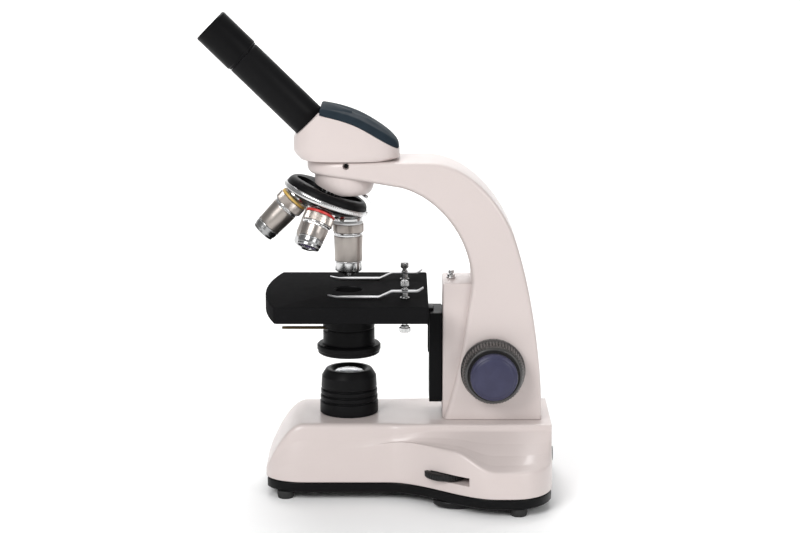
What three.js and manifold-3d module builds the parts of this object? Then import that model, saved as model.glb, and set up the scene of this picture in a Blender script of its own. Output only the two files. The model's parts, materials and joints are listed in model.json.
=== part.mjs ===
// A student microscope: base, lamp, arm, rack-and-pinion stage, four objectives and an inclined tube.
// Millimetres, +Z up. Shapes are drawn about the optical axis (x = 0, y = 0) with the table at z = 0,
// -X towards the user, and the finished group is moved so that its origin is under its middle.
import * as THREE from "three";
import { mergeVertices } from "three/addons/utils/BufferGeometryUtils.js";
import Module from "manifold-3d";

// ---- clearances ----
const seatGap = 0.3; // between pieces that rest on or in each other
const runGap = 0.5; // between pieces that move past each other

// ---- base ----
const footHeight = 6;
const footRadius = 6.3;
const bandHeight = 8; // black bottom plate
const shellHeight = 43; // painted shell above the plate
const baseFront = -62;
const baseRear = 151;
const frontHalfWidth = 45;
const rearHalfWidth = 87;
const deckHalfWidth = 38;
const shellWall = 4;
const frontFootX = -47;
const rearFootX = 125;
const frontFootY = 35;
const rearFootY = 78;

// ---- lamp ----
const lampHeight = 34;
const lampRadius = 22;
const lampLensRadius = 11.8;

// ---- heights above the base ----
const stageRise = 94.5; // deck to stage top, at rest
const focusGap = 11.6; // stage top to the longest objective, at rest
const shoulderRise = 44.2; // tip to shoulder of the longest objective
const noseRise = 43.9; // objective shoulder to the top of the arm

// ---- stage ----
const stageThickness = 12.3;
const stageFront = -61.5;
const stageRear = 59.3;
const stageHalfWidth = 63;
const stageArcRise = 9;
const stageHoleRadius = 10;
const clipPostX = 42;
const clipPostY = 33;
const clipPostRadius = 1.85;
const clipLength = 57;
const clipWidth = 6;

// ---- condenser ----
const condenserRadius = 19.4;
const condenserWall = 4.4;
const condenserFlangeRadius = 23.9;
const condenserFlangeHeight = 11.5;
const condenserDrop = 48.5; // stage top to the bottom of the condenser
const irisLeverLength = 50.3;

// ---- arm ----
const armHalfWidth = 25;
const armBack = 144.5;
const noseFront = -30;
const blockFront = 70.3;
const blockHalfWidth = 20;
const blockRise = 8.5; // top of the gear block above the stage top
const columnDepth = 9.5; // of the slide column that shows in front of the block
const slideHalfWidth = 13;

// ---- focus drive ----
const knobX = 107.5;
const knobRise = 39; // above the deck
const gearModule = 0.8;
const pinionTeeth = 16;
const gearBacklash = 0.24;
const coarseShaftRadius = 5;
const fineShaftRadius = 2.5;
const bushRadius = 8.5;
const coarseKnobRadius = 24;
const coarseKnobWidth = 19.5;
const fineKnobRadius = 18.4;
const fineKnobWidth = 7;

// ---- nosepiece and objectives ----
const noseTilt = THREE.MathUtils.degToRad(21.8); // turret axis from the vertical
const noseCone = THREE.MathUtils.degToRad(21.8); // objective axis from the turret axis
const apexToShoulder = 55; // where the objective axes meet, to their shoulders
const turretWall = 1; // outside the seats of the objectives
const turretRimWidth = 1.6;
const turretTopRise = 18; // above the objectives' shoulders, along the turret axis
const turretRimRise = 12.9;
const turretRimHeight = 4;
const pivotRadius = 4;
const bossRadius = 22;
const neckRadius = 12; // between the mount and the turret
const threadRadius = 9.8;
const objectiveBarrelRadius = 10.7;
const knurlRadius = 11.4;

// ---- head and eyepiece ----
const headFront = -41.5;
const headRear = 38.4;
const headHalfWidth = 27;
const headHeight = 40;
const tubeTilt = THREE.MathUtils.degToRad(44.4); // tube axis above the horizontal
const tubeRadius = 13.3;
const tubeLength = 70;
const tubeStart = 37; // from the optical axis, along the tube
const tubeBore = 11.9;
const eyepieceRadius = 14;
const eyepieceLength = 34;
const dovetailRadius = 15;
const dovetailDepth = 5;
const lightBore = 9;

// ---- heights that follow ----
const plateBottom = footHeight;
const shellBottom = plateBottom + bandHeight + seatGap;
const deckZ = plateBottom + bandHeight + shellHeight;
const stageTop = deckZ + stageRise;
const stageBottom = stageTop - stageThickness;
const tipZ = stageTop + focusGap;
const shoulderZ = tipZ + shoulderRise;
const apexZ = shoulderZ + apexToShoulder;
const armTop = shoulderZ + noseRise;
const headBottom = armTop + runGap;
const blockTop = stageTop + blockRise;
const knobZ = deckZ + knobRise;
const pinionRadius = (gearModule * pinionTeeth) / 2;
const columnFront = blockFront - runGap - columnDepth;
const rackPitchX = knobX - pinionRadius;
const turretTopDepth = apexToShoulder - turretTopRise; // from the apex
const turretRimTop = apexToShoulder - turretRimRise;
const turretBodyRadius = apexToShoulder * Math.sin(noseCone) + threadRadius + turretWall;
const turretRadius = turretBodyRadius + turretRimWidth;

// ---- materials ----
const finish = (color, roughness, metalness = 0) => ({ color, roughness, metalness });
const paint = finish(0xe6dcd6, 0.42);
const blackPaint = finish(0x1c1c1e, 0.45);
const stageBlack = finish(0x242426, 0.5);
const rubber = finish(0x151515, 0.85);
const chrome = finish(0xc9c9c9, 0.15, 1);
const satin = finish(0xbdb4aa, 0.38, 1);
const brass = finish(0xb08d4a, 0.3, 1);
const steel = finish(0x9a9a9c, 0.35, 1);
const slate = finish(0x46536a, 0.45);
const glass = finish(0xcfe2ee, 0.05);
const board = finish(0x1f5a38, 0.6);
const blackPlastic = finish(0x17181a, 0.55);

// ---- solid helpers ----
const wasm = await Module();
wasm.setup();

function toSolid(geometry) {
  const loose = geometry.index ? geometry.toNonIndexed() : geometry;
  const plain = new THREE.BufferGeometry();
  plain.setAttribute("position", loose.getAttribute("position").clone());
  const merged = mergeVertices(plain, 1e-4);
  const corners = merged.index.array;
  const kept = [];
  for (let i = 0; i < corners.length; i += 3) {
    const [a, b, c] = [corners[i], corners[i + 1], corners[i + 2]];
    if (a !== b && b !== c && c !== a) kept.push(a, b, c);
  }
  const vertProperties = merged.attributes.position.array;
  return new wasm.Manifold(new wasm.Mesh({ numProp: 3, vertProperties, triVerts: new Uint32Array(kept) }));
}

function toGeometry(solid) {
  const mesh = solid.getMesh();
  const geometry = new THREE.BufferGeometry();
  geometry.setAttribute("position", new THREE.BufferAttribute(mesh.vertProperties, mesh.numProp));
  geometry.setIndex(new THREE.BufferAttribute(mesh.triVerts, 1));
  geometry.computeVertexNormals();
  return geometry;
}

const join = (first, ...rest) => toGeometry(rest.reduce((all, g) => all.add(toSolid(g)), toSolid(first)));
const cut = (first, ...tools) =>
  toGeometry(tools.reduce((left, g) => left.subtract(toSolid(g)), toSolid(first)));
const overlap = (a, b) => toGeometry(toSolid(a).intersect(toSolid(b)));

// Turns a closed surface round when its faces point inwards.
function outward(geometry) {
  const loose = geometry.index ? geometry.toNonIndexed() : geometry;
  const p = loose.getAttribute("position");
  const [a, b, c] = [new THREE.Vector3(), new THREE.Vector3(), new THREE.Vector3()];
  let volume = 0;
  for (let i = 0; i < p.count; i += 3) {
    a.fromBufferAttribute(p, i);
    b.fromBufferAttribute(p, i + 1);
    c.fromBufferAttribute(p, i + 2);
    volume += a.dot(b.cross(c));
  }
  if (volume > 0) return geometry;
  for (let i = 0; i < p.count; i += 3) {
    a.fromBufferAttribute(p, i + 1);
    b.fromBufferAttribute(p, i + 2);
    p.setXYZ(i + 1, b.x, b.y, b.z);
    p.setXYZ(i + 2, a.x, a.y, a.z);
  }
  loose.deleteAttribute("normal");
  loose.computeVertexNormals();
  return loose;
}

// A solid of revolution about Z from [radius, z] points.
function turned(profile, segments = 24) {
  const points = profile.map(([radius, z]) => new THREE.Vector2(radius, z));
  return outward(new THREE.LatheGeometry(points, segments).rotateX(Math.PI / 2));
}

// A ring or tube about Z.
const ring = (inner, outer, z0, z1, segments = 24) =>
  turned([[inner, z0], [outer, z0], [outer, z1], [inner, z1], [inner, z0]], segments);

const disc = (radius, z0, z1, segments = 24) =>
  turned([[0, z0], [radius, z0], [radius, z1], [0, z1]], segments);

const slab = (x0, x1, y0, y1, z0, z1) =>
  new THREE.BoxGeometry(x1 - x0, y1 - y0, z1 - z0).translate((x0 + x1) / 2, (y0 + y1) / 2, (z0 + z1) / 2);

// A shape drawn in x and z, as thick as y0 to y1.
const sidePlate = (shape, y0, y1, curveSegments = 10) =>
  new THREE.ExtrudeGeometry(shape, { depth: y1 - y0, bevelEnabled: false, curveSegments })
    .rotateX(Math.PI / 2)
    .translate(0, y1, 0);

// A shape drawn in x and y, as thick as z0 to z1.
const flatPlate = (shape, z0, z1, curveSegments = 10) =>
  new THREE.ExtrudeGeometry(shape, { depth: z1 - z0, bevelEnabled: false, curveSegments })
    .translate(0, 0, z0);

function polygon(points) {
  const shape = new THREE.Shape();
  points.forEach(([x, y], i) => (i ? shape.lineTo(x, y) : shape.moveTo(x, y)));
  shape.closePath();
  return shape;
}

// A closed surface through rings of points, with a fan over each end.
function loft(rings) {
  const corners = [];
  const middle = (loop) =>
    loop.reduce((sum, p) => sum.add(p), new THREE.Vector3()).divideScalar(loop.length);
  const put = (...points) => points.forEach((p) => corners.push(p.x, p.y, p.z));
  for (let r = 0; r + 1 < rings.length; r++)
    rings[r].forEach((p, i) => {
      const j = (i + 1) % rings[r].length;
      put(p, rings[r][j], rings[r + 1][j]);
      put(p, rings[r + 1][j], rings[r + 1][i]);
    });
  const [first, last] = [rings[0], rings[rings.length - 1]];
  first.forEach((p, i) => put(middle(first), first[(i + 1) % first.length], p));
  last.forEach((p, i) => put(middle(last), p, last[(i + 1) % last.length]));
  const geometry = new THREE.BufferGeometry();
  geometry.setAttribute("position", new THREE.Float32BufferAttribute(corners, 3));
  return outward(geometry);
}

// A turned piece laid along Y, from a profile of [radius, distance from the middle plane].
const turnedAcross = (profile, side, segments = 28) =>
  outward(turned(profile, segments).rotateX(Math.PI / 2).scale(1, -side, 1)).translate(knobX, 0, knobZ);

// ---- the exported group ----
const microscope = new THREE.Group();

function add(name, geometry, look, parent = microscope) {
  const mesh = new THREE.Mesh(geometry, new THREE.MeshStandardMaterial(look));
  mesh.name = name;
  parent.add(mesh);
  return mesh;
}

const smooth = (t) => THREE.MathUtils.smoothstep(t, 0, 1);
const mix = THREE.MathUtils.lerp;

// ---- base shell ----
const flareStart = baseFront + 92;
const flareEnd = baseFront + 172;
const rearRound = 34;
const frontRound = 30;

// Half-width of the base outline at the plate.
function outlineHalfWidth(x) {
  const side = mix(frontHalfWidth, rearHalfWidth, smooth((x - flareStart) / (flareEnd - flareStart)));
  const intoFront = Math.max(0, (baseFront + frontRound - x) / frontRound);
  const intoRear = Math.max(0, (x - baseRear + rearRound) / rearRound);
  const frontEdge = mix(side, side - frontRound * 0.75, 1 - Math.sqrt(1 - Math.min(1, intoFront) ** 2));
  const rearEdge = frontEdge - rearRound * 1.1 * (1 - Math.sqrt(1 - Math.min(1, intoRear) ** 2.4));
  return rearEdge;
}

// Height of the middle of the shell: a curved slope at the front, then the level deck.
const slopeLength = 29;
function crestZ(x) {
  const t = (x - baseFront) / slopeLength;
  return t >= 1 ? deckZ : mix(shellBottom + 5, deckZ, Math.sin((Math.max(0, t) * Math.PI) / 2) ** 0.85);
}

// One half of a cross-section of the shell, from the middle of the deck to the plate.
function shellHalf(x) {
  const bottomY = outlineHalfWidth(x);
  const crest = crestZ(x);
  const room = (crest - shellBottom) / (deckZ - shellBottom);
  const deckY = Math.min(deckHalfWidth, bottomY - 8 * room);
  const flare = smooth((x - flareStart + 34) / 75);
  const edge = 4 * room;
  const upperZ = mix(crest - edge - 8 * room, crest - edge - 0.5, flare);
  const shelfZ = mix(shellBottom + 31, shellBottom + 19, smooth((x - 78) / 30));
  const lowerZ = mix(upperZ - 6 * room, shelfZ, flare);
  const draft = 1.2 + 2 * room;
  const lipZ = Math.min(lowerZ, upperZ - 1 * room);
  const upperY = Math.max(deckY, mix(mix(deckY, bottomY, 0.25), deckY + 0.8, flare));
  const lowerY = mix(mix(deckY, bottomY, 0.45), bottomY - draft, flare);
  const dip = (t) => mix(upperZ, lipZ, t) - Math.sin(t * Math.PI) * 3 * flare;
  return [
    [0, crest],
    [deckY - edge, crest],
    [deckY - edge * 0.3, crest - edge * 0.3],
    [upperY, upperZ],
    [mix(upperY, lowerY, 0.33), dip(0.33)],
    [mix(upperY, lowerY, 0.66), dip(0.66)],
    [lowerY, lipZ],
    [mix(lowerY, bottomY, 0.5), mix(lipZ, shellBottom, 0.4)],
    [bottomY, shellBottom],
  ];
}

function baseStations() {
  const inset = 1.5;
  const steps = 18;
  const list = [baseFront, baseFront + inset, baseFront + inset * 3, baseFront + inset * 6];
  const [from, to] = [baseFront + inset * 9, baseRear - inset * 7];
  for (let i = 0; i <= steps; i++) list.push(mix(from, to, i / steps));
  return [...list, baseRear - inset * 4, baseRear - inset * 2, baseRear - inset * 0.7, baseRear];
}

const shellRing = (x) => {
  const half = shellHalf(x);
  const right = half.map(([y, z]) => new THREE.Vector3(x, y, z));
  const left = half.slice(1).reverse().map(([y, z]) => new THREE.Vector3(x, -y, z));
  return [...right, ...left];
};

function baseOutline(inset, stations = baseStations()) {
  const half = stations.map((x) => {
    const bounded = THREE.MathUtils.clamp(x, baseFront + inset, baseRear - inset);
    return [bounded, outlineHalfWidth(x) - inset];
  });
  return polygon([...half, ...half.slice().reverse().map(([x, y]) => [x, -y])]);
}

// Thumbwheel of the dimmer, lying level behind a slot in the side.
const dimmerX = 72.5;
const dimmerZ = shellBottom + 10.6;
const dimmerRadius = 16;
const dimmerThickness = 5;
const dimmerWallY = -outlineHalfWidth(dimmerX);
const dimmerY = dimmerWallY + 13.4;

const cavity = slab(baseFront + slopeLength + 5, baseRear - 12, -33, 33, shellBottom - 1, deckZ - shellWall);
const dimmerBottom = dimmerZ - dimmerThickness / 2;
const dimmerTop = dimmerZ + dimmerThickness / 2;
const dimmerPocket = disc(dimmerRadius + 1, dimmerBottom - 1, dimmerTop + 1).translate(dimmerX, dimmerY, 0);
const dimmerWell = slab(dimmerX - 13, dimmerX + 13, dimmerY - 8, -30, shellBottom - 1, dimmerTop + 1);
const wireHole = disc(4, deckZ - shellWall - 1, deckZ + 1, 16);
const jackRadius = 5.5;
const jackZ = 32;
const jackHole = disc(jackRadius + seatGap, -1, 30, 20)
  .rotateY(Math.PI / 2).translate(baseRear - 20, -28, jackZ);
const armBoltX = [rackPitchX + 9, armBack - 12];
const boltRadius = 3;
const boltHoles = armBoltX.map((x) =>
  disc(boltRadius + seatGap, deckZ - shellWall - 1, deckZ + 1, 16).translate(x, 0, 0));
const shellBlank = loft(baseStations().map(shellRing));
add("base_shell",
  cut(shellBlank, cavity, dimmerPocket, dimmerWell, wireHole, jackHole, ...boltHoles),
  paint);

// ---- bottom plate, dimmer cover and feet ----
const footPlaces = [
  ["foot_front_left", frontFootX, frontFootY],
  ["foot_front_right", frontFootX, -frontFootY],
  ["foot_rear_left", rearFootX, rearFootY],
  ["foot_rear_right", rearFootX, -rearFootY],
];
add("base_plate", flatPlate(baseOutline(1.2), plateBottom, plateBottom + bandHeight), blackPaint);
const coverShape = new THREE.Shape().absellipse(dimmerX + 7.5, dimmerWallY + 13, 17, 12.5, 0, 2 * Math.PI);
add("dimmer_cover", flatPlate(coverShape, plateBottom - 4.5, plateBottom - seatGap, 8), blackPlastic);
footPlaces.forEach(([name, x, y]) =>
  add(name,
    turned([[0, 0], [footRadius - 0.8, 0], [footRadius, footHeight - seatGap], [0, footHeight - seatGap]], 16)
      .translate(x, y, 0),
    rubber));

// ---- what the base holds ----
add("circuit_board", slab(20, 70, -24, 24, shellBottom + 7, shellBottom + 8.6), board);
add("dimmer_wheel",
  cut(
    disc(dimmerRadius, dimmerBottom, dimmerTop, 28),
    disc(2.3, dimmerZ - dimmerThickness, dimmerZ + dimmerThickness, 16),
  ).translate(dimmerX, dimmerY, 0),
  blackPlastic);
add("dimmer_pot",
  join(
    disc(2, dimmerBottom - 0.5, dimmerTop + 0.5, 16),
    disc(7, shellBottom + seatGap, dimmerBottom - 0.4, 24),
  ).translate(dimmerX, dimmerY, 0),
  blackPlastic);
const jackBack = baseRear - 16;
add("dc_jack",
  cut(
    disc(jackRadius, 0, 17.5, 20).rotateY(Math.PI / 2).translate(jackBack, -28, jackZ),
    disc(3.3, 0, 12, 16).rotateY(Math.PI / 2).translate(jackBack + 7, -28, jackZ),
  ),
  blackPlastic);

// ---- lamp ----
const lampTop = deckZ + lampHeight;
const groove = 1.1;
const lampGrooves = [22, 16.5, 10].flatMap((rise) => [
  [lampRadius - 0.4, deckZ + rise + 1.1],
  [lampRadius - groove - 0.4, deckZ + rise],
  [lampRadius - 0.4, deckZ + rise - 1.1],
]);
add("lamp_housing",
  turned([
    [lampLensRadius + seatGap, lampTop - 6],
    [lampLensRadius + seatGap, lampTop - 1],
    [lampLensRadius + 3, lampTop],
    [lampRadius - 3.3, lampTop],
    [lampRadius - 0.8, lampTop - 5],
    ...lampGrooves,
    [lampRadius, deckZ + seatGap],
    [lampLensRadius - 2, deckZ + seatGap],
    [lampLensRadius - 2, lampTop - 6],
    [lampLensRadius + seatGap, lampTop - 6],
  ], 24),
  blackPaint);
add("lamp_lens",
  turned([
    [0, lampTop - 5.6],
    [lampLensRadius, lampTop - 5.6],
    [lampLensRadius, lampTop - 3],
    [lampLensRadius * 0.6, lampTop - 0.8],
    [0, lampTop],
  ], 20),
  glass);
add("led_module",
  join(disc(8.5, deckZ + seatGap, deckZ + 4, 24), slab(-2.5, 2.5, -2.5, 2.5, deckZ + 3.5, deckZ + 6)), board);

// ---- arm ----
const bendX = armBack - 23.5;
const bendZ = mix(blockTop, armTop, 0.44);
const throatX = blockFront + 21.2;

function armSide() {
  const shape = new THREE.Shape();
  const underZ = armTop - 10.2;
  shape.moveTo(noseFront, armTop);
  shape.lineTo(58, armTop);
  shape.bezierCurveTo(82, armTop, bendX - 14.7, bendZ + 32, bendX, bendZ);
  shape.bezierCurveTo(bendX + 12, bendZ - 30, armBack - 0.5, knobZ + 14, armBack, deckZ + seatGap);
  shape.lineTo(blockFront + 1, deckZ + seatGap);
  shape.bezierCurveTo(blockFront + 14, knobZ, throatX - 5.5, knobZ + 25, throatX, blockTop);
  shape.bezierCurveTo(throatX, blockTop + 35, 66, armTop - 25.5, 38.5, armTop - 18.9);
  shape.bezierCurveTo(20, armTop - 16, 0, armTop - 12, -20, underZ);
  shape.quadraticCurveTo(noseFront, underZ + 1, noseFront, underZ + 4);
  shape.closePath();
  return shape;
}

// The arm narrows to a rounded nose round the optical axis.
function armPlan() {
  const shape = new THREE.Shape();
  shape.moveTo(armBack + 5, -armHalfWidth - 5);
  shape.lineTo(armBack + 5, armHalfWidth + 5);
  shape.lineTo(0, armHalfWidth + 5);
  shape.absellipse(0, 0, -noseFront, armHalfWidth + 5, Math.PI / 2, (3 * Math.PI) / 2);
  shape.closePath();
  return shape;
}

const roofZ = stageTop - 1;
const channelBack = rackPitchX + gearModule * 0.9 + runGap;
const setScrewZ = armTop - 2.7;
const acrossAt = (x, z, radius, y0, y1, segments = 24) =>
  disc(radius, y0, y1, segments).rotateX(-Math.PI / 2).translate(x, 0, z);
const armBar = sidePlate(armSide(), -armHalfWidth, armHalfWidth, 12);
const armBody = join(
  overlap(armBar, flatPlate(armPlan(), deckZ - 1, armTop + 1, 16)),
  slab(blockFront, blockFront + 30, -blockHalfWidth, blockHalfWidth, deckZ + seatGap, blockTop),
);
const stopScrewX = blockFront + 6.5;
add("arm",
  cut(
    armBody,
    slab(blockFront - 1, channelBack, -slideHalfWidth - runGap, slideHalfWidth + runGap, deckZ - 1, roofZ),
    acrossAt(knobX, knobZ, bushRadius + seatGap, -armHalfWidth - 1, armHalfWidth + 1),
    disc(lightBore, armTop - 40, armTop + 1, 24),
    disc(dovetailRadius + runGap, armTop - dovetailDepth - 1, armTop + 1),
    acrossAt(-1, setScrewZ, 2, -armHalfWidth - 6, -dovetailRadius, 16),
    ...armBoltX.map((x) => disc(boltRadius + seatGap, deckZ - 1, deckZ + 14, 16).translate(x, 0, 0)),
    disc(1.5 + seatGap, roofZ - 1, blockTop + 1, 16).translate(stopScrewX, 0, 0),
  ),
  paint);

armBoltX.forEach((x, i) =>
  add(i ? "arm_bolt_rear" : "arm_bolt_front",
    join(disc(boltRadius, deckZ - shellWall - 2, deckZ + 13, 16),
      disc(5.5, deckZ - shellWall - 5, deckZ - shellWall - seatGap, 6)).translate(x, 0, 0),
    steel));
add("stop_screw",
  join(
    disc(1.5, roofZ, blockTop + 1, 12),
    disc(3.4, blockTop + seatGap, blockTop + 1.6, 16),
    disc(1.5, blockTop + 1, blockTop + 4.4, 12),
    disc(2, blockTop + 4, blockTop + 6.4, 6),
  ).translate(stopScrewX, 0, 0),
  chrome);
add("head_screw",
  acrossAt(-1, setScrewZ, 1.7, -armHalfWidth - 1.5, -dovetailRadius - runGap, 16), steel);

// ---- bushes, shafts and knobs of the focus drive ----
for (const side of [-1, 1]) {
  const place = side < 0 ? "right" : "left";
  const inner = slideHalfWidth + runGap + 0.5;
  const face = armHalfWidth + runGap;
  const knobEnd = face + coarseKnobWidth;
  add("shaft_bush_" + place,
    turnedAcross([[coarseShaftRadius + seatGap, inner], [bushRadius, inner], [bushRadius, armHalfWidth - 0.5],
      [coarseShaftRadius + seatGap, armHalfWidth - 0.5], [coarseShaftRadius + seatGap, inner]], side, 24),
    brass);
  add("coarse_knob_" + place,
    turnedAcross([
      [coarseShaftRadius + seatGap, face],
      [coarseKnobRadius - 2, face],
      [coarseKnobRadius, face + 2],
      [coarseKnobRadius, face + 5],
      [coarseKnobRadius - 1.5, knobEnd - 3],
      [coarseKnobRadius - 3.5, knobEnd],
      [coarseShaftRadius + seatGap, knobEnd],
      [coarseShaftRadius + seatGap, face],
    ], side, 28),
    blackPlastic);
  const capStart = knobEnd + runGap;
  add("fine_knob_" + place,
    turnedAcross([
      [fineShaftRadius + seatGap, capStart],
      [fineKnobRadius - 0.6, capStart],
      [fineKnobRadius, capStart + 1],
      [fineKnobRadius, capStart + fineKnobWidth - 2],
      [fineKnobRadius - 1.2, capStart + fineKnobWidth - 0.5],
      [fineKnobRadius * 0.55, capStart + fineKnobWidth + 1.5],
      [0, capStart + fineKnobWidth + 2.2],
      [0, capStart + fineKnobWidth - 1],
      [fineShaftRadius + seatGap, capStart + fineKnobWidth - 1],
      [fineShaftRadius + seatGap, capStart],
    ], side, 28),
    slate);
}

// A 20 degree involute outline of the pinion, with a tooth towards -X.
function pinionShape() {
  const pressure = THREE.MathUtils.degToRad(20);
  const involute = (angle) => Math.tan(angle) - angle;
  const baseRadius = pinionRadius * Math.cos(pressure);
  const tipRadius = pinionRadius + gearModule * 0.9;
  const rootRadius = pinionRadius - gearModule * 1.25;
  const halfTooth = Math.PI / (2 * pinionTeeth) - gearBacklash / 2 / pinionRadius;
  const flankSteps = 2;
  const flank = [[rootRadius, halfTooth + involute(pressure)]];
  for (let i = 0; i <= flankSteps; i++) {
    const radius = mix(baseRadius, tipRadius, i / flankSteps);
    const turn = involute(Math.acos(Math.min(1, baseRadius / radius)));
    flank.push([radius, halfTooth + involute(pressure) - turn]);
  }
  const points = [];
  for (let k = 0; k < pinionTeeth; k++) {
    const middle = Math.PI + (k * 2 * Math.PI) / pinionTeeth;
    const place = ([radius, angle], side) =>
      points.push([radius * Math.cos(middle + side * angle), radius * Math.sin(middle + side * angle)]);
    flank.forEach((spot) => place(spot, -1));
    flank.slice().reverse().forEach((spot) => place(spot, 1));
  }
  return polygon(points);
}

const coarseShaftEnd = armHalfWidth + runGap + coarseKnobWidth - 1;
const pinionHalf = slideHalfWidth - 2;
const shaftRod = turned([
  [fineShaftRadius + seatGap, -coarseShaftEnd],
  [coarseShaftRadius, -coarseShaftEnd],
  [coarseShaftRadius, coarseShaftEnd],
  [fineShaftRadius + seatGap, coarseShaftEnd],
  [fineShaftRadius + seatGap, -coarseShaftEnd],
], 20).rotateX(Math.PI / 2);
const pinionBore = disc(coarseShaftRadius - 1, -pinionHalf - 1, pinionHalf + 1, 16).rotateX(Math.PI / 2);
add("pinion_shaft",
  join(shaftRod, cut(sidePlate(pinionShape(), -pinionHalf, pinionHalf), pinionBore))
    .translate(knobX, 0, knobZ),
  steel);
const fineShaftEnd = armHalfWidth + coarseKnobWidth + runGap * 2 + fineKnobWidth - 1.5;
add("fine_shaft",
  disc(fineShaftRadius, -fineShaftEnd, fineShaftEnd, 16).rotateX(Math.PI / 2).translate(knobX, 0, knobZ),
  steel);

// ---- slide column with its rack ----
const travel = 10;
const columnTop = stageBottom - 2.4;
const columnBottom = deckZ + travel + 1.8;
const tongueHalf = 8;
const tongueDepth = 3;
const rackRoot = rackPitchX - gearModule * 1.25;
const rackBottom = knobZ - travel - 9;
const rackTop = knobZ + travel + 9;
add("slide_column",
  cut(
    join(
      slab(columnFront, blockFront - runGap, -17, 17, columnBottom, columnTop),
      slab(columnFront + 2, rackRoot - seatGap - 4, -slideHalfWidth, slideHalfWidth, columnBottom, columnTop),
    ),
    slab(columnFront - 1, columnFront + tongueDepth + runGap, -tongueHalf - runGap, tongueHalf + runGap,
      columnBottom + 20, columnTop + 1),
  ),
  blackPaint);

// Straight-sided teeth facing the pinion, with a gap at the height of its axis.
function rackShape() {
  const pitch = Math.PI * gearModule;
  const slant = Math.tan(THREE.MathUtils.degToRad(20));
  const half = pitch / 4 - gearBacklash / 2;
  const rootX = rackRoot;
  const tipX = rackPitchX + gearModule * 0.9;
  const points = [[rackRoot - 4, rackBottom], [rootX, rackBottom]];
  const count = Math.floor((rackTop - knobZ - pitch) / pitch);
  for (let k = -count; k <= count; k++) {
    const z = knobZ + (k + 0.5) * pitch;
    points.push([rootX, z - half - (rackPitchX - rootX) * slant]);
    points.push([tipX, z - half + (tipX - rackPitchX) * slant]);
    points.push([tipX, z + half - (tipX - rackPitchX) * slant]);
    points.push([rootX, z + half + (rackPitchX - rootX) * slant]);
  }
  points.push([rootX, rackTop], [rackRoot - 4, rackTop]);
  return polygon(points);
}
add("rack", sidePlate(rackShape(), -pinionHalf + 1, pinionHalf - 1), brass);

// ---- stage ----
function stageOutline() {
  const corner = 5;
  const bulge = stageFront;
  const cornerX = stageFront + stageArcRise;
  const shape = new THREE.Shape();
  shape.moveTo(stageRear, -stageHalfWidth + 2);
  shape.lineTo(stageRear, stageHalfWidth - 2);
  shape.lineTo(stageRear - 2, stageHalfWidth);
  shape.lineTo(cornerX + corner, stageHalfWidth);
  shape.quadraticCurveTo(cornerX, stageHalfWidth, cornerX - 1, stageHalfWidth - corner);
  shape.quadraticCurveTo(2 * bulge - cornerX, 0, cornerX - 1, -stageHalfWidth + corner);
  shape.quadraticCurveTo(cornerX, -stageHalfWidth, cornerX + corner, -stageHalfWidth);
  shape.lineTo(stageRear - 2, -stageHalfWidth);
  shape.closePath();
  return shape;
}
const postHoles = [-clipPostY, clipPostY].map((y) =>
  disc(clipPostRadius + seatGap, stageBottom - 1, stageTop + 1, 16).translate(clipPostX, y, 0));
add("stage_plate",
  cut(flatPlate(stageOutline(), stageBottom, stageTop, 14),
    disc(stageHoleRadius, stageBottom - 1, stageTop + 1, 24), ...postHoles),
  stageBlack);
const bracketTop = stageBottom - seatGap;
add("stage_bracket",
  join(
    slab(columnFront - 12, columnFront + tongueDepth, -tongueHalf, tongueHalf, bracketTop - 5, bracketTop),
    sidePlate(polygon([
      [columnFront + tongueDepth, bracketTop - 1],
      [columnFront - 9, bracketTop - 1],
      [columnFront - runGap - 0.5, bracketTop - 13],
      [columnFront - runGap - 0.5, bracketTop - 34],
      [columnFront + tongueDepth, bracketTop - 34],
    ]), -tongueHalf, tongueHalf),
  ),
  blackPaint);

// ---- stage clips ----
const leafThickness = 0.9;
const leafSeat = 5.2; // of the leaf above the stage at its post

// The leaf from the side: raised at the post, sloping to the stage, with a lifted tip and tail.
function leafSide() {
  const line = [
    [-clipLength, 3.6],
    [-clipLength + 7, 0.8],
    [-26, 0.8],
    [-10, leafSeat],
    [9, leafSeat],
    [14, leafSeat + 3.2],
  ];
  const upper = line.map(([x, z]) => [x, z + leafThickness]).reverse();
  return polygon([...line, ...upper]);
}
const leafPlan = polygon([
  [15, clipWidth / 2], [-clipLength + 18, clipWidth / 2], [-clipLength - 1, 0.9],
  [-clipLength - 1, -0.9], [-clipLength + 18, -clipWidth / 2], [15, -clipWidth / 2],
]);
const postFoot = stageBottom - 13;
for (const side of [-1, 1]) {
  const place = side < 0 ? "right" : "left";
  const y = side * clipPostY;
  add("clip_leaf_" + place,
    cut(
      overlap(sidePlate(leafSide(), -clipWidth / 2, clipWidth / 2), flatPlate(leafPlan, 0, 20)),
      disc(clipPostRadius + seatGap, -1, 20, 16),
    ).translate(clipPostX, y, stageTop),
    chrome);
  add("clip_post_" + place,
    turned([
      [0, postFoot],
      [clipPostRadius, postFoot],
      [clipPostRadius, stageTop + seatGap],
      [4.2, stageTop + seatGap],
      [4.2, stageTop + leafSeat - seatGap],
      [clipPostRadius, stageTop + leafSeat - seatGap],
      [clipPostRadius, stageTop + leafSeat + leafThickness + 1],
      [4, stageTop + leafSeat + leafThickness + 1.4],
      [4, stageTop + 12.8],
      [3.2, stageTop + 13.7],
      [0, stageTop + 13.7],
    ], 14).translate(clipPostX, y, 0),
    chrome);
  add("clip_nut_" + place,
    ring(clipPostRadius + seatGap, 4.2, postFoot + 0.5, postFoot + 5.2, 14).translate(clipPostX, y, 0),
    chrome);
}

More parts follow.
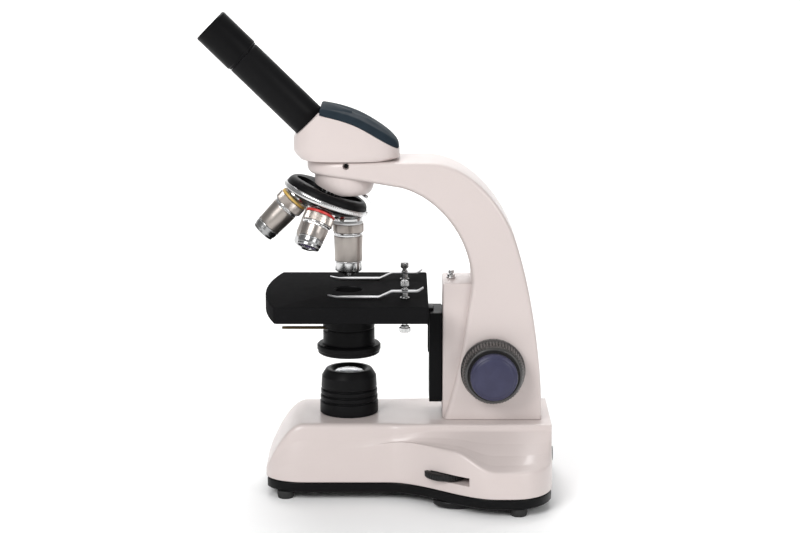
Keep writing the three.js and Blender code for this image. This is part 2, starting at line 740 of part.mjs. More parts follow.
// ---- condenser ----
const condenserBottom = stageTop - condenserDrop;
const flangeTop = condenserBottom + condenserFlangeHeight;
const condenserTop = stageBottom - seatGap;
const condenserBore = condenserRadius - condenserWall;
const leverZ = flangeTop + 7.5;
const leverThickness = 1.8;
const leverBottom = leverZ - leverThickness / 2;
const leverTop = leverZ + leverThickness / 2;
const leverSweep = THREE.MathUtils.degToRad(36);

const slotShape = new THREE.Shape();
slotShape.moveTo(0, 0);
slotShape.lineTo(-(condenserRadius + 4) * Math.cos(leverSweep), (condenserRadius + 4) * Math.sin(leverSweep));
slotShape.absarc(0, 0, condenserRadius + 4, Math.PI - leverSweep, Math.PI + leverSweep);
slotShape.closePath();
add("condenser_body",
  cut(
    turned([
      [8, condenserTop - 5],
      [8, condenserTop],
      [condenserRadius, condenserTop],
      [condenserRadius, flangeTop],
      [condenserFlangeRadius - 0.8, flangeTop],
      [condenserFlangeRadius, flangeTop - 1],
      [condenserFlangeRadius, condenserBottom + 1.5],
      [condenserFlangeRadius - 1.5, condenserBottom],
      [condenserBore, condenserBottom],
      [condenserBore, condenserTop - 5],
      [8, condenserTop - 5],
    ], 28),
    flatPlate(slotShape, leverBottom - 1, leverTop + 1),
  ),
  blackPaint);
add("condenser_lens",
  turned([
    [0, condenserTop - 12],
    [10, condenserTop - 12],
    [condenserBore - seatGap, condenserTop - 9.5],
    [condenserBore - seatGap, condenserTop - 5 - seatGap],
    [7.6, condenserTop - 5 - seatGap],
    [7.2, condenserTop - 3],
    [0, condenserTop - 1.2],
  ], 20),
  glass);
add("iris_lever",
  join(
    ring(5, condenserBore - runGap, leverBottom, leverTop, 20),
    slab(-irisLeverLength, -condenserBore + 3, -2.2, 2.2, leverBottom, leverTop),
  ),
  brass);

// ---- nosepiece: fixed mount, pivot, turret, rim and click spring ----
const nosepiece = new THREE.Group();
nosepiece.position.set(0, 0, apexZ);
nosepiece.rotation.set(0, noseTilt, 0);
microscope.add(nosepiece);

// The mount is a bowl under the arm, cut off over the turret, with a neck on the turret's axis.
function mountBowl(grown = 0) {
  const rim = armTop - 9.5;
  const wall = [[0, rim], [bossRadius + grown, rim], [bossRadius + grown, rim - 5.5]];
  for (let i = 1; i <= 5; i++) {
    const turn = (i * Math.PI) / 10;
    wall.push([bossRadius + grown - 5.2 * (1 - Math.cos(turn)), rim - 5.5 - (11 + grown) * Math.sin(turn)]);
  }
  wall.push([0, rim - 16.5 - grown], [0, rim]);
  return turned(wall, 28).translate(-2.5, 0, 0);
}
const intoNosepiece = (geometry) => geometry.rotateY(noseTilt).translate(0, 0, apexZ);
const overTurret = intoNosepiece(disc(60, -apexToShoulder - 60, -turretTopDepth + runGap, 16));
const neck = intoNosepiece(disc(neckRadius, -turretTopDepth + runGap, -turretTopDepth + 12, 24));
const mountBlank = join(cut(mountBowl(), overTurret), neck);
const armClearance = sidePlate(armSide(), -armHalfWidth, armHalfWidth, 12).translate(0, 0, -seatGap);
const bossSolid = cut(mountBlank, armClearance, disc(lightBore, 0, armTop, 24));
const pivotTop = turretTopDepth - 9;
const pivotEnd = (apexToShoulder - 1) / Math.cos(noseCone);
const pivotHole = disc(pivotRadius + seatGap, -turretTopDepth - 5, -pivotTop, 20)
  .rotateY(noseTilt).translate(0, 0, apexZ);
add("nosepiece_mount", cut(bossSolid, pivotHole), paint);
add("turret_pivot",
  join(disc(pivotRadius, -pivotEnd - 1, -pivotTop - 4, 20), disc(6.5, -pivotEnd - 3.4, -pivotEnd - 0.6, 24)),
  steel, nosepiece);

const turns = [0, 1, 2, 3].map((k) => (k * Math.PI) / 2);
const onCone = (geometry, turn) => geometry.rotateY(-noseCone).rotateZ(turn);
const coneZ = (radius) => -apexToShoulder / Math.cos(noseCone) + radius * Math.tan(noseCone);
const turretBlank = turned([
  [pivotRadius + runGap, -turretTopDepth - 3],
  [turretBodyRadius - 9, -turretTopDepth],
  [turretBodyRadius - 4, -turretTopDepth],
  [turretBodyRadius - 1, -turretTopDepth - 2.2],
  [turretBodyRadius, -turretRimTop + 1],
  [turretBodyRadius, -turretRimTop - turretRimHeight + 0.6],
  [turretBodyRadius - 3, coneZ(turretBodyRadius - 3)],
  [pivotRadius + runGap, coneZ(pivotRadius + runGap)],
  [pivotRadius + runGap, -turretTopDepth - 3],
], 28);
add("turret",
  cut(turretBlank,
    ...turns.map((turn) => onCone(disc(threadRadius + seatGap, -apexToShoulder - 8, -20, 16), turn))),
  blackPaint, nosepiece);
add("turret_rim",
  turned([
    [turretBodyRadius + seatGap, -turretRimTop - turretRimHeight],
    [turretRadius - 0.8, -turretRimTop - turretRimHeight],
    [turretRadius, -turretRimTop - turretRimHeight + 0.9],
    [turretRadius, -turretRimTop - 0.9],
    [turretRadius - 0.8, -turretRimTop],
    [turretBodyRadius + seatGap, -turretRimTop],
    [turretBodyRadius + seatGap, -turretRimTop - turretRimHeight],
  ], 28),
  chrome, nosepiece);
const springX = turretRadius + runGap;
const mountClearance = mountBowl(0.8).translate(0, 0, -apexZ).rotateY(-noseTilt);
const springBlank = sidePlate(polygon([
    [bossRadius + 1.6, -turretTopDepth + 4.4],
    [springX, -turretTopDepth + 1.4],
    [springX, -turretRimTop - turretRimHeight],
    [springX + 1, -turretRimTop - turretRimHeight],
    [springX + 1, -turretTopDepth + 2.2],
    [bossRadius + 1.6, -turretTopDepth + 6.2],
  ]), -3.5, 3.5);
add("click_spring", cut(springBlank, mountClearance), chrome, nosepiece);

// ---- objectives: [name, reach from apex, nose radius, barrel radius] ----
const longest = apexToShoulder + shoulderRise;
const objectives = [
  ["objective_100x", longest, 5.2, objectiveBarrelRadius],
  ["objective_4x", longest - 15, 8.4, objectiveBarrelRadius - 0.9],
  ["objective_10x", longest - 6.5, 8.6, objectiveBarrelRadius - 0.7],
  ["objective_40x", longest, 5, objectiveBarrelRadius],
];
objectives.forEach(([name, reach, noseRadius, barrel], k) => {
  const holder = new THREE.Group();
  holder.rotation.set(0, -noseCone, 0);
  const spin = new THREE.Group();
  spin.rotation.set(0, 0, [0, 3, 2, 1][k] * (Math.PI / 2));
  spin.add(holder);
  nosepiece.add(spin);
  const top = -apexToShoulder - seatGap;
  const bottom = -reach;
  const skirt = bottom + 10;
  const bore = noseRadius - 1.8;
  add(name,
    turned([
      [bore, top + 5],
      [threadRadius, top + 5],
      [threadRadius, top],
      [knurlRadius, top],
      [knurlRadius, top - 12.4],
      [barrel, top - 13.4],
      [barrel, skirt],
      [barrel - 0.8, skirt - 0.6],
      [barrel - 0.8, bottom + 3.4],
      [noseRadius, bottom + 1.8],
      [noseRadius, bottom],
      [bore, bottom],
      [bore, top + 5],
    ], 18),
    satin, holder);
  add(name + "_lens",
    turned([
      [0, bottom + 0.6],
      [bore - seatGap, bottom + 0.8],
      [bore - seatGap, bottom + 3.2],
      [0, bottom + 3.2],
    ], 12),
    glass, holder);
});

// ---- head ----
const tubeAxisZ = headBottom - 0.8; // where the tube axis crosses the optical axis
const alongTube = (distance) => [
  -distance * Math.cos(tubeTilt),
  tubeAxisZ + distance * Math.sin(tubeTilt),
];
const headTopX = headFront + 21.5;

function headSide() {
  const shape = new THREE.Shape();
  shape.moveTo(-29, headBottom);
  shape.lineTo(34.8, headBottom);
  shape.quadraticCurveTo(headRear, headBottom + 2, headRear, headBottom + 6);
  shape.lineTo(headRear - 0.8, headBottom + 13);
  shape.quadraticCurveTo(21, headBottom + 27, 2.4, headBottom + 34.6);
  shape.quadraticCurveTo(-8, headBottom + headHeight - 2, headTopX, headBottom + headHeight);
  shape.lineTo(headTopX, headBottom + headHeight - 5);
  shape.lineTo(headFront + 3.5, headBottom + 18.8);
  shape.quadraticCurveTo(headFront - 1, headBottom + 11, headFront + 4, headBottom + 4);
  shape.closePath();
  return shape;
}
function headPlan() {
  const middle = (headFront + headRear) / 2;
  const power = 2.5;
  const count = 36;
  const points = [];
  for (let i = 0; i < count; i++) {
    const angle = (i * 2 * Math.PI) / count;
    const [c, s] = [Math.cos(angle), Math.sin(angle)];
    const reach = (Math.abs(c) ** power + Math.abs(s) ** power) ** (-1 / power);
    points.push([middle + ((headRear - headFront) / 2) * reach * c, headHalfWidth * reach * s]);
  }
  return polygon(points);
}
const capThickness = 6;
const aboveCap = (drop) => {
  const shape = new THREE.Shape();
  shape.moveTo(headTopX - 2, headBottom + headHeight - capThickness - drop);
  shape.quadraticCurveTo(-6, headBottom + 33 - drop, 2.4, headBottom + 28.4 - drop);
  shape.quadraticCurveTo(21, headBottom + 20 - drop, headRear + 3, headBottom + 6.4 - drop);
  shape.lineTo(headRear + 3, headBottom + 80);
  shape.lineTo(headTopX - 2, headBottom + 80);
  shape.closePath();
  return sidePlate(shape, -headHalfWidth - 5, headHalfWidth + 5);
};
const headBlank = overlap(
  sidePlate(headSide(), -headHalfWidth, headHalfWidth),
  flatPlate(headPlan(), headBottom - 1, headBottom + headHeight + 1),
);
const tubeRod = (radius, from, to, segments = 28) =>
  disc(radius, from, to, segments).rotateY(tubeTilt - Math.PI / 2).translate(0, 0, tubeAxisZ);
const lightWell = disc(lightBore + 2, headBottom - dovetailDepth - 1, headBottom + 14, 28);
add("head_body",
  cut(
    join(
      cut(headBlank, aboveCap(0)),
      disc(dovetailRadius, armTop - dovetailDepth, headBottom + 1, 24),
    ),
    lightWell,
    tubeRod(tubeRadius + seatGap, tubeStart - 8, tubeStart + 40),
    tubeRod(tubeBore - 2, 4, tubeStart, 24),
  ),
  paint);
add("head_cap",
  cut(overlap(headBlank, aboveCap(-seatGap)), tubeRod(tubeRadius + seatGap, tubeStart - 8, tubeStart + 40)),
  slate);
add("prism",
  sidePlate(polygon([
    [-7, headBottom + 1],
    [8, headBottom + 1],
    [8, headBottom + 8],
    [-1, headBottom + 13],
    [-7, headBottom + 7],
  ]), -7, 7),
  glass);

// ---- tube and eyepiece, along the inclined axis ----
const tubeFrame = new THREE.Group();
tubeFrame.position.set(0, 0, tubeAxisZ);
tubeFrame.rotation.set(0, tubeTilt - Math.PI / 2, 0);
microscope.add(tubeFrame);
const tubeFoot = tubeStart - 8 + seatGap;
const tubeEnd = tubeStart + tubeLength;
add("eyepiece_tube",
  ring(tubeBore, tubeRadius, tubeFoot, tubeEnd, 28), blackPaint, tubeFrame);
const barrelRadius = tubeBore - seatGap;
const eyepieceStart = tubeEnd + seatGap;
const eyepieceTop = eyepieceStart + eyepieceLength - seatGap;
add("eyepiece_body",
  turned([
    [barrelRadius - 1.4, eyepieceStart - 26],
    [barrelRadius, eyepieceStart - 26],
    [barrelRadius, eyepieceStart],
    [eyepieceRadius, eyepieceStart],
    [eyepieceRadius, eyepieceTop - 1],
    [eyepieceRadius - 1, eyepieceTop],
    [9, eyepieceTop],
    [8, eyepieceTop - 3],
    [8, eyepieceTop - 9],
    [barrelRadius - 1.4, eyepieceTop - 10],
    [barrelRadius - 1.4, eyepieceStart - 26],
  ], 28),
  blackPlastic, tubeFrame);
add("eye_lens",
  turned([
    [0, eyepieceTop - 8.6],
    [7.7, eyepieceTop - 7.8],
    [7.7, eyepieceTop - 4.6],
    [0, eyepieceTop - 3.6],
  ], 24),
  glass, tubeFrame);
add("field_lens",
  turned([
    [0, eyepieceStart - 24.5],
    [barrelRadius - 1.7, eyepieceStart - 23],
    [barrelRadius - 1.7, eyepieceStart - 21],
    [0, eyepieceStart - 21],
  ], 24),
  glass, tubeFrame);

// ---- origin under the middle of the object ----
microscope.updateMatrixWorld(true);
const bounds = new THREE.Box3().setFromObject(microscope, true);
microscope.position.set(
  -(bounds.min.x + bounds.max.x) / 2,
  -(bounds.min.y + bounds.max.y) / 2,
  -bounds.min.z,
);

export default microscope;
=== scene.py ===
"""Student microscope: the visible pieces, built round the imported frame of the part."""

import json
import math

import bmesh
import bpy
from bpy.props import FloatProperty, FloatVectorProperty, IntProperty, PointerProperty
from mathutils import Matrix, Vector

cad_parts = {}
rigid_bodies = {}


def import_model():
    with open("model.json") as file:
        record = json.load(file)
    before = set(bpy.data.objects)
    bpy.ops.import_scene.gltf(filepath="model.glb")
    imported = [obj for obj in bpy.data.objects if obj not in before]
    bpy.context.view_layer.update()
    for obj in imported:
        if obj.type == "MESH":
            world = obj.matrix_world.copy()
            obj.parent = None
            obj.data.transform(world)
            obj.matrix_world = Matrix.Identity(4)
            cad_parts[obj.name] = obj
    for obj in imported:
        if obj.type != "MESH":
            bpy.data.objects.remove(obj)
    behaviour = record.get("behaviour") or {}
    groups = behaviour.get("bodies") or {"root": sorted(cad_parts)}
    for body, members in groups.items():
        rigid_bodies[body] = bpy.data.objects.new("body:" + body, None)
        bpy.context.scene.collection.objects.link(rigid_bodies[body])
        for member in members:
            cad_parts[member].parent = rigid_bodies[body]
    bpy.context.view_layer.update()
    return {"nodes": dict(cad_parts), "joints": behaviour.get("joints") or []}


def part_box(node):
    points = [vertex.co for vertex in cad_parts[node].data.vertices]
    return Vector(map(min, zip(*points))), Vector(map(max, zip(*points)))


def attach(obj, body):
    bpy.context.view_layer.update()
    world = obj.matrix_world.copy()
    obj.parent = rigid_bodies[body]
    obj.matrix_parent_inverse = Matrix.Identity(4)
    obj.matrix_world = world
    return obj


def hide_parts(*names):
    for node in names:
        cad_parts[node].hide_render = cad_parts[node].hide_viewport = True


bl_info = {
    "name": "Student Microscope",
    "version": (1, 0, 0),
    "blender": (4, 5, 0),
    "location": "View3D > Sidebar > Microscope",
    "description": "Builds the visible pieces of a student microscope round its frame",
    "category": "Add Mesh",
}

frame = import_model()
MM = 0.001


# ---------------------------------------------------------------- places taken from the frame
def low(node):
    """Lowest corner of a node, in millimetres."""
    return Vector(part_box(node)[0]) / MM


def high(node):
    """Highest corner of a node, in millimetres."""
    return Vector(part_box(node)[1]) / MM


def middle(node):
    """Centre of a node's box, in millimetres."""
    return (low(node) + high(node)) / 2


def joint(name):
    return next(j for j in frame["joints"] if j["name"] == name)


AXIS_X = middle("objective_100x_lens").x  # the optical axis stands at y = 0
DECK_Z = high("base_shell").z
SHELL_Z = low("base_shell").z
STAGE_Z = high("stage_plate").z
STAGE_UNDER_Z = low("stage_plate").z
ARM_TOP_Z = high("arm").z
HEAD_Z = ARM_TOP_Z + 0.5
KNOB_X = middle("fine_shaft").x
KNOB_Z = middle("fine_shaft").z
OPTIC = Matrix.Translation((AXIS_X, 0, 0))
FLAT_AREA = 1.5e-4  # larger faces are flat in the real thing, in square metres
SHARP = 38  # edges that turn by more degrees than this stay crisp


# ---------------------------------------------------------------- outlines
def mix(a, b, t):
    return a + (b - a) * t


def smooth(t):
    t = max(0.0, min(1.0, t))
    return t * t * (3 - 2 * t)


def arc_corner(before, corner, after, radius, steps):
    """Points of a round corner, steps + 1 of them, whatever the radius."""
    a, b, c = Vector(before), Vector(corner), Vector(after)
    into, out = a - b, c - b
    if into.length < 1e-6 or out.length < 1e-6 or radius <= 0:
        return [tuple(b)] * (steps + 1)
    half = max(into.angle(out) / 2, 0.05)
    reach = min(radius / math.tan(half), into.length * 0.48, out.length * 0.48)
    start, end = b + into.normalized() * reach, b + out.normalized() * reach
    ring = []
    for i in range(steps + 1):
        t = i / steps
        ring.append(tuple(start * (1 - t) ** 2 + b * (2 * t * (1 - t)) + end * t * t))
    return ring


def rounded(points, radius, steps=3, closed=False):
    """Rounds the corners of a line; radius is one number or one for each point."""
    count = len(points)
    radii = radius if isinstance(radius, (list, tuple)) else [radius] * count
    line = []
    for i, point in enumerate(points):
        if not closed and i in (0, count - 1):
            line.append(tuple(point))
            continue
        line += arc_corner(points[i - 1], point, points[(i + 1) % count], radii[i], steps)
    return line


def bezier(p0, p1, p2, p3, steps, first=True):
    line = []
    for i in range(0 if first else 1, steps + 1):
        t = i / steps
        s = 1 - t
        line.append(tuple(
            a * s**3 + 3 * b * s * s * t + 3 * c * s * t * t + d * t**3
            for a, b, c, d in zip(p0, p1, p2, p3)
        ))
    return line


def resample(line, count):
    """The same line with evenly spread points."""
    lengths = [0.0]
    for a, b in zip(line, line[1:]):
        lengths.append(lengths[-1] + (Vector(b) - Vector(a)).length)
    spread, k = [], 0
    for i in range(count):
        want = lengths[-1] * i / (count - 1)
        while k < len(line) - 2 and lengths[k + 1] < want:
            k += 1
        gap = lengths[k + 1] - lengths[k]
        t = (want - lengths[k]) / gap if gap > 1e-9 else 0.0
        spread.append(tuple(mix(a, b, t) for a, b in zip(line[k], line[k + 1])))
    return spread


# ---------------------------------------------------------------- meshes
def mesh_piece(name, points, faces, place=OPTIC, sharp=SHARP):
    """One piece from points in millimetres, drawn about the optical axis unless placed elsewhere."""
    mesh = bpy.data.meshes.new(name)
    mesh.from_pydata([(place @ Vector(p)) * MM for p in points], [], faces)
    mesh.validate()
    piece = bpy.data.objects.new(name, mesh)
    bpy.context.scene.collection.objects.link(piece)
    tidy_mesh(piece, sharp)
    return piece


def tidy_mesh(piece, sharp=SHARP):
    """Merges doubled points, turns the faces outwards and marks the sharp edges."""
    work = bmesh.new()
    work.from_mesh(piece.data)
    bmesh.ops.remove_doubles(work, verts=work.verts, dist=1e-6)
    bmesh.ops.dissolve_degenerate(work, edges=work.edges, dist=1e-7)
    bmesh.ops.recalc_face_normals(work, faces=work.faces)
    work.to_mesh(piece.data)
    work.free()
    for polygon in piece.data.polygons:
        polygon.use_smooth = polygon.area < FLAT_AREA
    piece.data.set_sharp_from_angle(angle=math.radians(sharp))


def loft(name, rings, place=OPTIC, sharp=SHARP):
    """A closed skin through rings with equal numbers of points."""
    count = len(rings[0])
    points = [p for ring in rings for p in ring]
    faces = []
    for ring in range(0, len(points) - count, count):
        for c in range(count):
            d = (c + 1) % count
            faces.append((ring + c, ring + d, ring + count + d, ring + count + c))
    faces.append(tuple(range(count)))
    faces.append(tuple(range(len(points) - 1, len(points) - count - 1, -1)))
    return mesh_piece(name, points, faces, place, sharp)


def turned(name, profile, segments=96, place=OPTIC, ribs=None, sharp=SHARP):
    """A piece turned about Z from (radius, height) points. ribs(radius, height, angle) moves the surface."""
    ring_shape = profile[0][0] > 1e-6
    points, faces = [], []
    for i in range(segments):
        angle = 2 * math.pi * i / segments
        for radius, height in profile:
            r = ribs(radius, height, angle) if ribs else radius
            points.append((r * math.cos(angle), r * math.sin(angle), height))
    count = len(profile)
    for i in range(segments):
        j = (i + 1) % segments
        for k in range(count if ring_shape else count - 1):
            n = (k + 1) % count
            faces.append((i * count + k, j * count + k, j * count + n, i * count + n))
    return mesh_piece(name, points, faces, place, sharp)


def wave(count, angle):
    """Between 0 in the hollows and 1 on the ribs, for ribs evenly spread round a piece."""
    return 0.5 + 0.5 * math.cos(count * angle)


def knurl(low_z, high_z, count, depth):
    """Straight ribs between two heights."""
    def shape(radius, height, angle):
        if not low_z <= height <= high_z:
            return radius
        return radius - depth * (1 - wave(count, angle))
    return shape


def notches(beyond, count, depth):
    """Straight notches in whatever lies beyond a radius."""
    def shape(radius, height, angle):
        return radius - depth * (1 - wave(count, angle)) if radius > beyond else radius
    return shape


def dome(radius, rise, foot, parts, first, last):
    """Side of a dome above its foot, as (radius, height), at steps of half a turn over parts."""
    turns = [t * math.pi / parts for t in range(first, last + 1)]
    return [(radius * math.cos(turn), foot + rise * math.sin(turn)) for turn in turns]


def circle(centre, radii, count):
    """A closed ring of (x, y) points; radii are its half-widths along x and y."""
    turns = [2 * math.pi * i / count for i in range(count)]
    return [(centre[0] + radii[0] * math.cos(turn), centre[1] + radii[1] * math.sin(turn)) for turn in turns]


def slab(name, outline, z0, z1, edge, place=OPTIC, steps=3, sharp=SHARP):
    """A flat plate with a rounded rim, from an outline seen from above."""
    def inset(distance):
        ring = []
        count = len(outline)
        for i, point in enumerate(outline):
            ahead, behind = Vector(outline[(i + 1) % count]), Vector(outline[i - 1])
            along = ahead - behind
            if along.length < 1e-9:
                along = Vector((1, 0))
            out = Vector((along.y, -along.x)).normalized()
            ring.append(Vector(point) - out * distance)
        return ring
    area = sum(a[0] * b[1] - b[0] * a[1] for a, b in zip(outline, outline[1:] + outline[:1]))
    if area < 0:
        outline = outline[::-1]
    rings = []
    for i in range(steps + 1):
        turn = math.pi / 2 * i / steps
        rings.append((edge * (1 - math.sin(turn)), z0 + edge * (1 - math.cos(turn))))
    rings += [(d, z1 - (z - z0)) for d, z in reversed(rings)]
    return loft(name, [[(p.x, p.y, z) for p in inset(d)] for d, z in rings], place, sharp)


def box_piece(name, x, y, z, edge, place=OPTIC, steps=3):
    """A block with rounded edges and corners between x, y and z pairs."""
    corner = edge * 1.6
    outline = rounded([(x[0], y[0]), (x[1], y[0]), (x[1], y[1]), (x[0], y[1])], corner, 5, True)
    return slab(name, outline, z[0], z[1], edge, place, steps)


def side_bar(name, outline, y0, y1, edge):
    """A plate drawn in x and z, with rounded rims, as thick as y0 to y1."""
    turn = Matrix(((1, 0, 0, 0), (0, 0, -1, 0), (0, 1, 0, 0), (0, 0, 0, 1)))
    return slab(name, outline, -y1, -y0, edge, OPTIC @ turn)


def bake(piece):
    """Applies a piece's modifiers to its mesh."""
    graph = bpy.context.evaluated_depsgraph_get()
    done = bpy.data.meshes.new_from_object(piece.evaluated_get(graph))
    piece.modifiers.clear()
    piece.data = done


def carve(piece, *tools, operation="DIFFERENCE", sharp=SHARP):
    """Cuts tools out of a piece, one by one, and removes them."""
    for tool in tools:
        step = piece.modifiers.new("carve", "BOOLEAN")
        step.operation = operation
        step.object = tool
        step.solver = "EXACT"
        bake(piece)
        bpy.data.objects.remove(tool, do_unlink=True)
    tidy_mesh(piece, sharp)


def fuse(piece, *others, sharp=SHARP):
    """Joins others to a piece as one solid."""
    carve(piece, *others, operation="UNION", sharp=sharp)


def pin(name, radius, z0, z1, place=OPTIC, segments=48):
    """A plain tool for round holes."""
    return turned(name, [(0, z0), (radius, z0), (radius, z1), (0, z1)], segments, place)


def along(origin, axis, side=(0, 1, 0)):
    """A frame whose Z lies along axis; its Y stays near side."""
    z = Vector(axis).normalized()
    x = Vector(side).cross(z).normalized()
    y = z.cross(x)
    turn = Matrix((x, y, z)).transposed().to_4x4()
    return Matrix.Translation(Vector(origin)) @ turn


def across(x, z, side=1):
    """A frame whose Z lies along Y, out to one side, through a place on the middle plane."""
    return along((x, 0, z), (0, side, 0), (0, 0, 1))


def join_pieces(name, pieces):
    """Puts several separate solids in one piece, keeping their materials."""
    for piece in bpy.context.view_layer.objects:
        piece.select_set(False)
    for piece in pieces:
        piece.select_set(True)
    bpy.context.view_layer.objects.active = pieces[0]
    if len(pieces) > 1:
        bpy.ops.object.join()
    pieces[0].name = name
    pieces[0].data.name = name
    pieces[0].select_set(False)
    return pieces[0]


# ---------------------------------------------------------------- finishes
def new_material(name):
    material = bpy.data.materials.new(name)
    material.use_nodes = True
    return material, material.node_tree, material.node_tree.nodes["Principled BSDF"]


def node(tree, kind, links=None, **values):
    made = tree.nodes.new(kind)
    for key, value in values.items():
        setattr(made, key, value)
    for key, value in (links or {}).items():
        if hasattr(value, "is_output"):
            tree.links.new(value, made.inputs[key])
        else:
            made.inputs[key].default_value = value
    return made


def place_of(tree, stretch=(1, 1, 1)):
    coords = node(tree, "ShaderNodeTexCoord")
    mapping = node(tree, "ShaderNodeMapping", {"Vector": coords.outputs["Object"], "Scale": stretch})
    return mapping.outputs["Vector"]


def noise(tree, where, scale, detail=3.0, roughness=0.55):
    made = node(tree, "ShaderNodeTexNoise", {
        "Vector": where, "Scale": scale, "Detail": detail, "Roughness": roughness,
    })
    return made.outputs["Fac"]


def remap(tree, value, low_in, high_in, low_out, high_out):
    made = node(tree, "ShaderNodeMapRange", {
        "Value": value, "From Min": low_in, "From Max": high_in, "To Min": low_out, "To Max": high_out,
    })
    return made.outputs["Result"]


def blend_colours(tree, factor, first, second):
    made = node(tree, "ShaderNodeMix", data_type="RGBA")
    tree.links.new(factor, made.inputs[0])
    for slot, colour in ((6, first), (7, second)):
        if hasattr(colour, "is_output"):
            tree.links.new(colour, made.inputs[slot])
        else:
            made.inputs[slot].default_value = (*colour[:3], 1)
    return made.outputs[2]


def edge_mask(tree, breakup, reach=0.8):
    """Bright within a reach, in millimetres, of the edges, and broken up by a noise."""
    geometry = node(tree, "ShaderNodeNewGeometry")
    bevel = node(tree, "ShaderNodeBevel", {"Radius": reach * MM}, samples=4)
    normals = {0: bevel.outputs["Normal"], 1: geometry.outputs["Normal"]}
    turned_by = node(tree, "ShaderNodeVectorMath", normals, operation="DOT_PRODUCT")
    edge = remap(tree, turned_by.outputs["Value"], 0.985, 0.8, 0.0, 1.0)
    return node(tree, "ShaderNodeMath", {0: edge, 1: breakup}, operation="MULTIPLY").outputs[0]


def bumps(tree, shader, layers):
    """Adds bump layers: (height, strength, distance in millimetres)."""
    last = None
    for height, strength, distance in layers:
        links = {"Height": height, "Strength": strength, "Distance": distance * MM}
        if last:
            links["Normal"] = last
        last = node(tree, "ShaderNodeBump", links).outputs["Normal"]
    tree.links.new(last, shader.inputs["Normal"])


def shade(colour, factor):
    return tuple(max(0.0, min(1.0, c * factor)) for c in colour[:3])


def painted(name, colour, rough, orange_peel, varnish=0.0, edge_wear_and_sheen=None, patch=0.05, gloss=0.5):
    """Sprayed or powder-coated paint: slow colour drift, orange peel, fine dust and worn edges; the pale
    edges of the stage are partly wear and partly a painted highlight along its rims.
    """
    material, tree, shader = new_material(name)
    where = place_of(tree)
    drift = noise(tree, where, 9, 2)
    mottled = noise(tree, where, 160, 4, 0.6)
    drifting = remap(tree, drift, 0.3, 0.7, 0, 1)
    base = blend_colours(tree, drifting, shade(colour, 1 - patch), shade(colour, 1 + patch))
    speck = remap(tree, noise(tree, where, 900, 2), 0.62, 0.75, 0, 0.35)
    dust = 0.9 if sum(colour[:3]) > 1 else 1.8  # darker than a pale paint, paler than a dark one
    base = blend_colours(tree, speck, base, shade(colour, dust))
    # edge colour: worn edges, and on the stage also a painted highlight along the rims
    if edge_wear_and_sheen:
        broken = remap(tree, mottled, 0.42, 0.62, 0, 0.55)
        base = blend_colours(tree, edge_mask(tree, broken), base, edge_wear_and_sheen)
    tree.links.new(base, shader.inputs["Base Color"])
    tree.links.new(remap(tree, mottled, 0.3, 0.7, rough * 0.93, rough * 1.08), shader.inputs["Roughness"])
    shader.inputs["IOR"].default_value = 1 + gloss
    shader.inputs["Coat Weight"].default_value = varnish
    shader.inputs["Coat Roughness"].default_value = 0.12
    bumps(tree, shader, [
        (noise(tree, where, 420, 2, 0.5), orange_peel, 0.06),
        (noise(tree, where, 1800, 2, 0.5), orange_peel * 0.6, 0.02),
    ])
    return material


def moulded(name, colour, rough, grain, edge_wear_and_sheen=None, gloss=0.5):
    """Moulded plastic or rubber: a fine spark-eroded grain and slightly polished edges; on the coarse knobs
    the pale edge colour is also a painted sheen.
    """
    material, tree, shader = new_material(name)
    where = place_of(tree)
    cloudy = noise(tree, where, 90, 3)
    base = blend_colours(tree, remap(tree, cloudy, 0.3, 0.7, 0, 1), shade(colour, 0.92), shade(colour, 1.1))
    # edge colour: worn edges, and on the coarse knobs also a painted sheen
    if edge_wear_and_sheen:
        broken = remap(tree, noise(tree, where, 260, 3), 0.4, 0.65, 0, 0.6)
        base = blend_colours(tree, edge_mask(tree, broken), base, edge_wear_and_sheen)
    tree.links.new(base, shader.inputs["Base Color"])
    tree.links.new(remap(tree, noise(tree, where, 380, 3), 0.3, 0.7, rough * 0.93, rough * 1.08),
                   shader.inputs["Roughness"])
    shader.inputs["IOR"].default_value = 1 + gloss
    bumps(tree, shader, [(noise(tree, where, 1500, 3, 0.6), grain, 0.04)])
    return material


def plated(name, colour, rough, brushed, stretch=(1, 1, 1), tarnish=(0.35, 0.33, 0.31)):
    """Bare or plated metal: brushing lines, smudges and darker patches in the hollows."""
    material, tree, shader = new_material(name)
    where = place_of(tree, stretch)
    plain = place_of(tree)
    smudge = noise(tree, plain, 55, 4, 0.6)
    lines = noise(tree, where, 700, 3, 0.6)
    base = blend_colours(tree, remap(tree, smudge, 0.35, 0.75, 0, 0.35), colour, shade(colour, 0.78))
    geometry = node(tree, "ShaderNodeNewGeometry")
    hollow = remap(tree, geometry.outputs["Pointiness"], 0.47, 0.42, 0, 0.6)
    base = blend_colours(tree, hollow, base, tarnish)
    tree.links.new(base, shader.inputs["Base Color"])
    shader.inputs["Metallic"].default_value = 1.0
    rougher = remap(tree, smudge, 0.3, 0.75, rough * 0.8, rough * 1.35)
    tree.links.new(rougher, shader.inputs["Roughness"])
    bumps(tree, shader, [
        (lines, brushed, 0.03),
        (noise(tree, plain, 300, 2), 0.05, 0.03),
    ])
    return material


def clear_glass(name, colour, coating=None):
    """A coated lens, with faint dust on it."""
    material, tree, shader = new_material(name)
    where = place_of(tree)
    shader.inputs["Transmission Weight"].default_value = 0.85
    shader.inputs["IOR"].default_value = 1.5
    tinted = blend_colours(tree, remap(tree, noise(tree, where, 30, 2), 0.3, 0.7, 0, 1),
                           colour, coating or shade(colour, 0.9))
    tree.links.new(tinted, shader.inputs["Base Color"])
    dust = remap(tree, noise(tree, where, 700, 3), 0.55, 0.8, 0.03, 0.16)
    tree.links.new(dust, shader.inputs["Roughness"])
    bumps(tree, shader, [(noise(tree, where, 200, 2), 0.02, 0.01)])
    return material


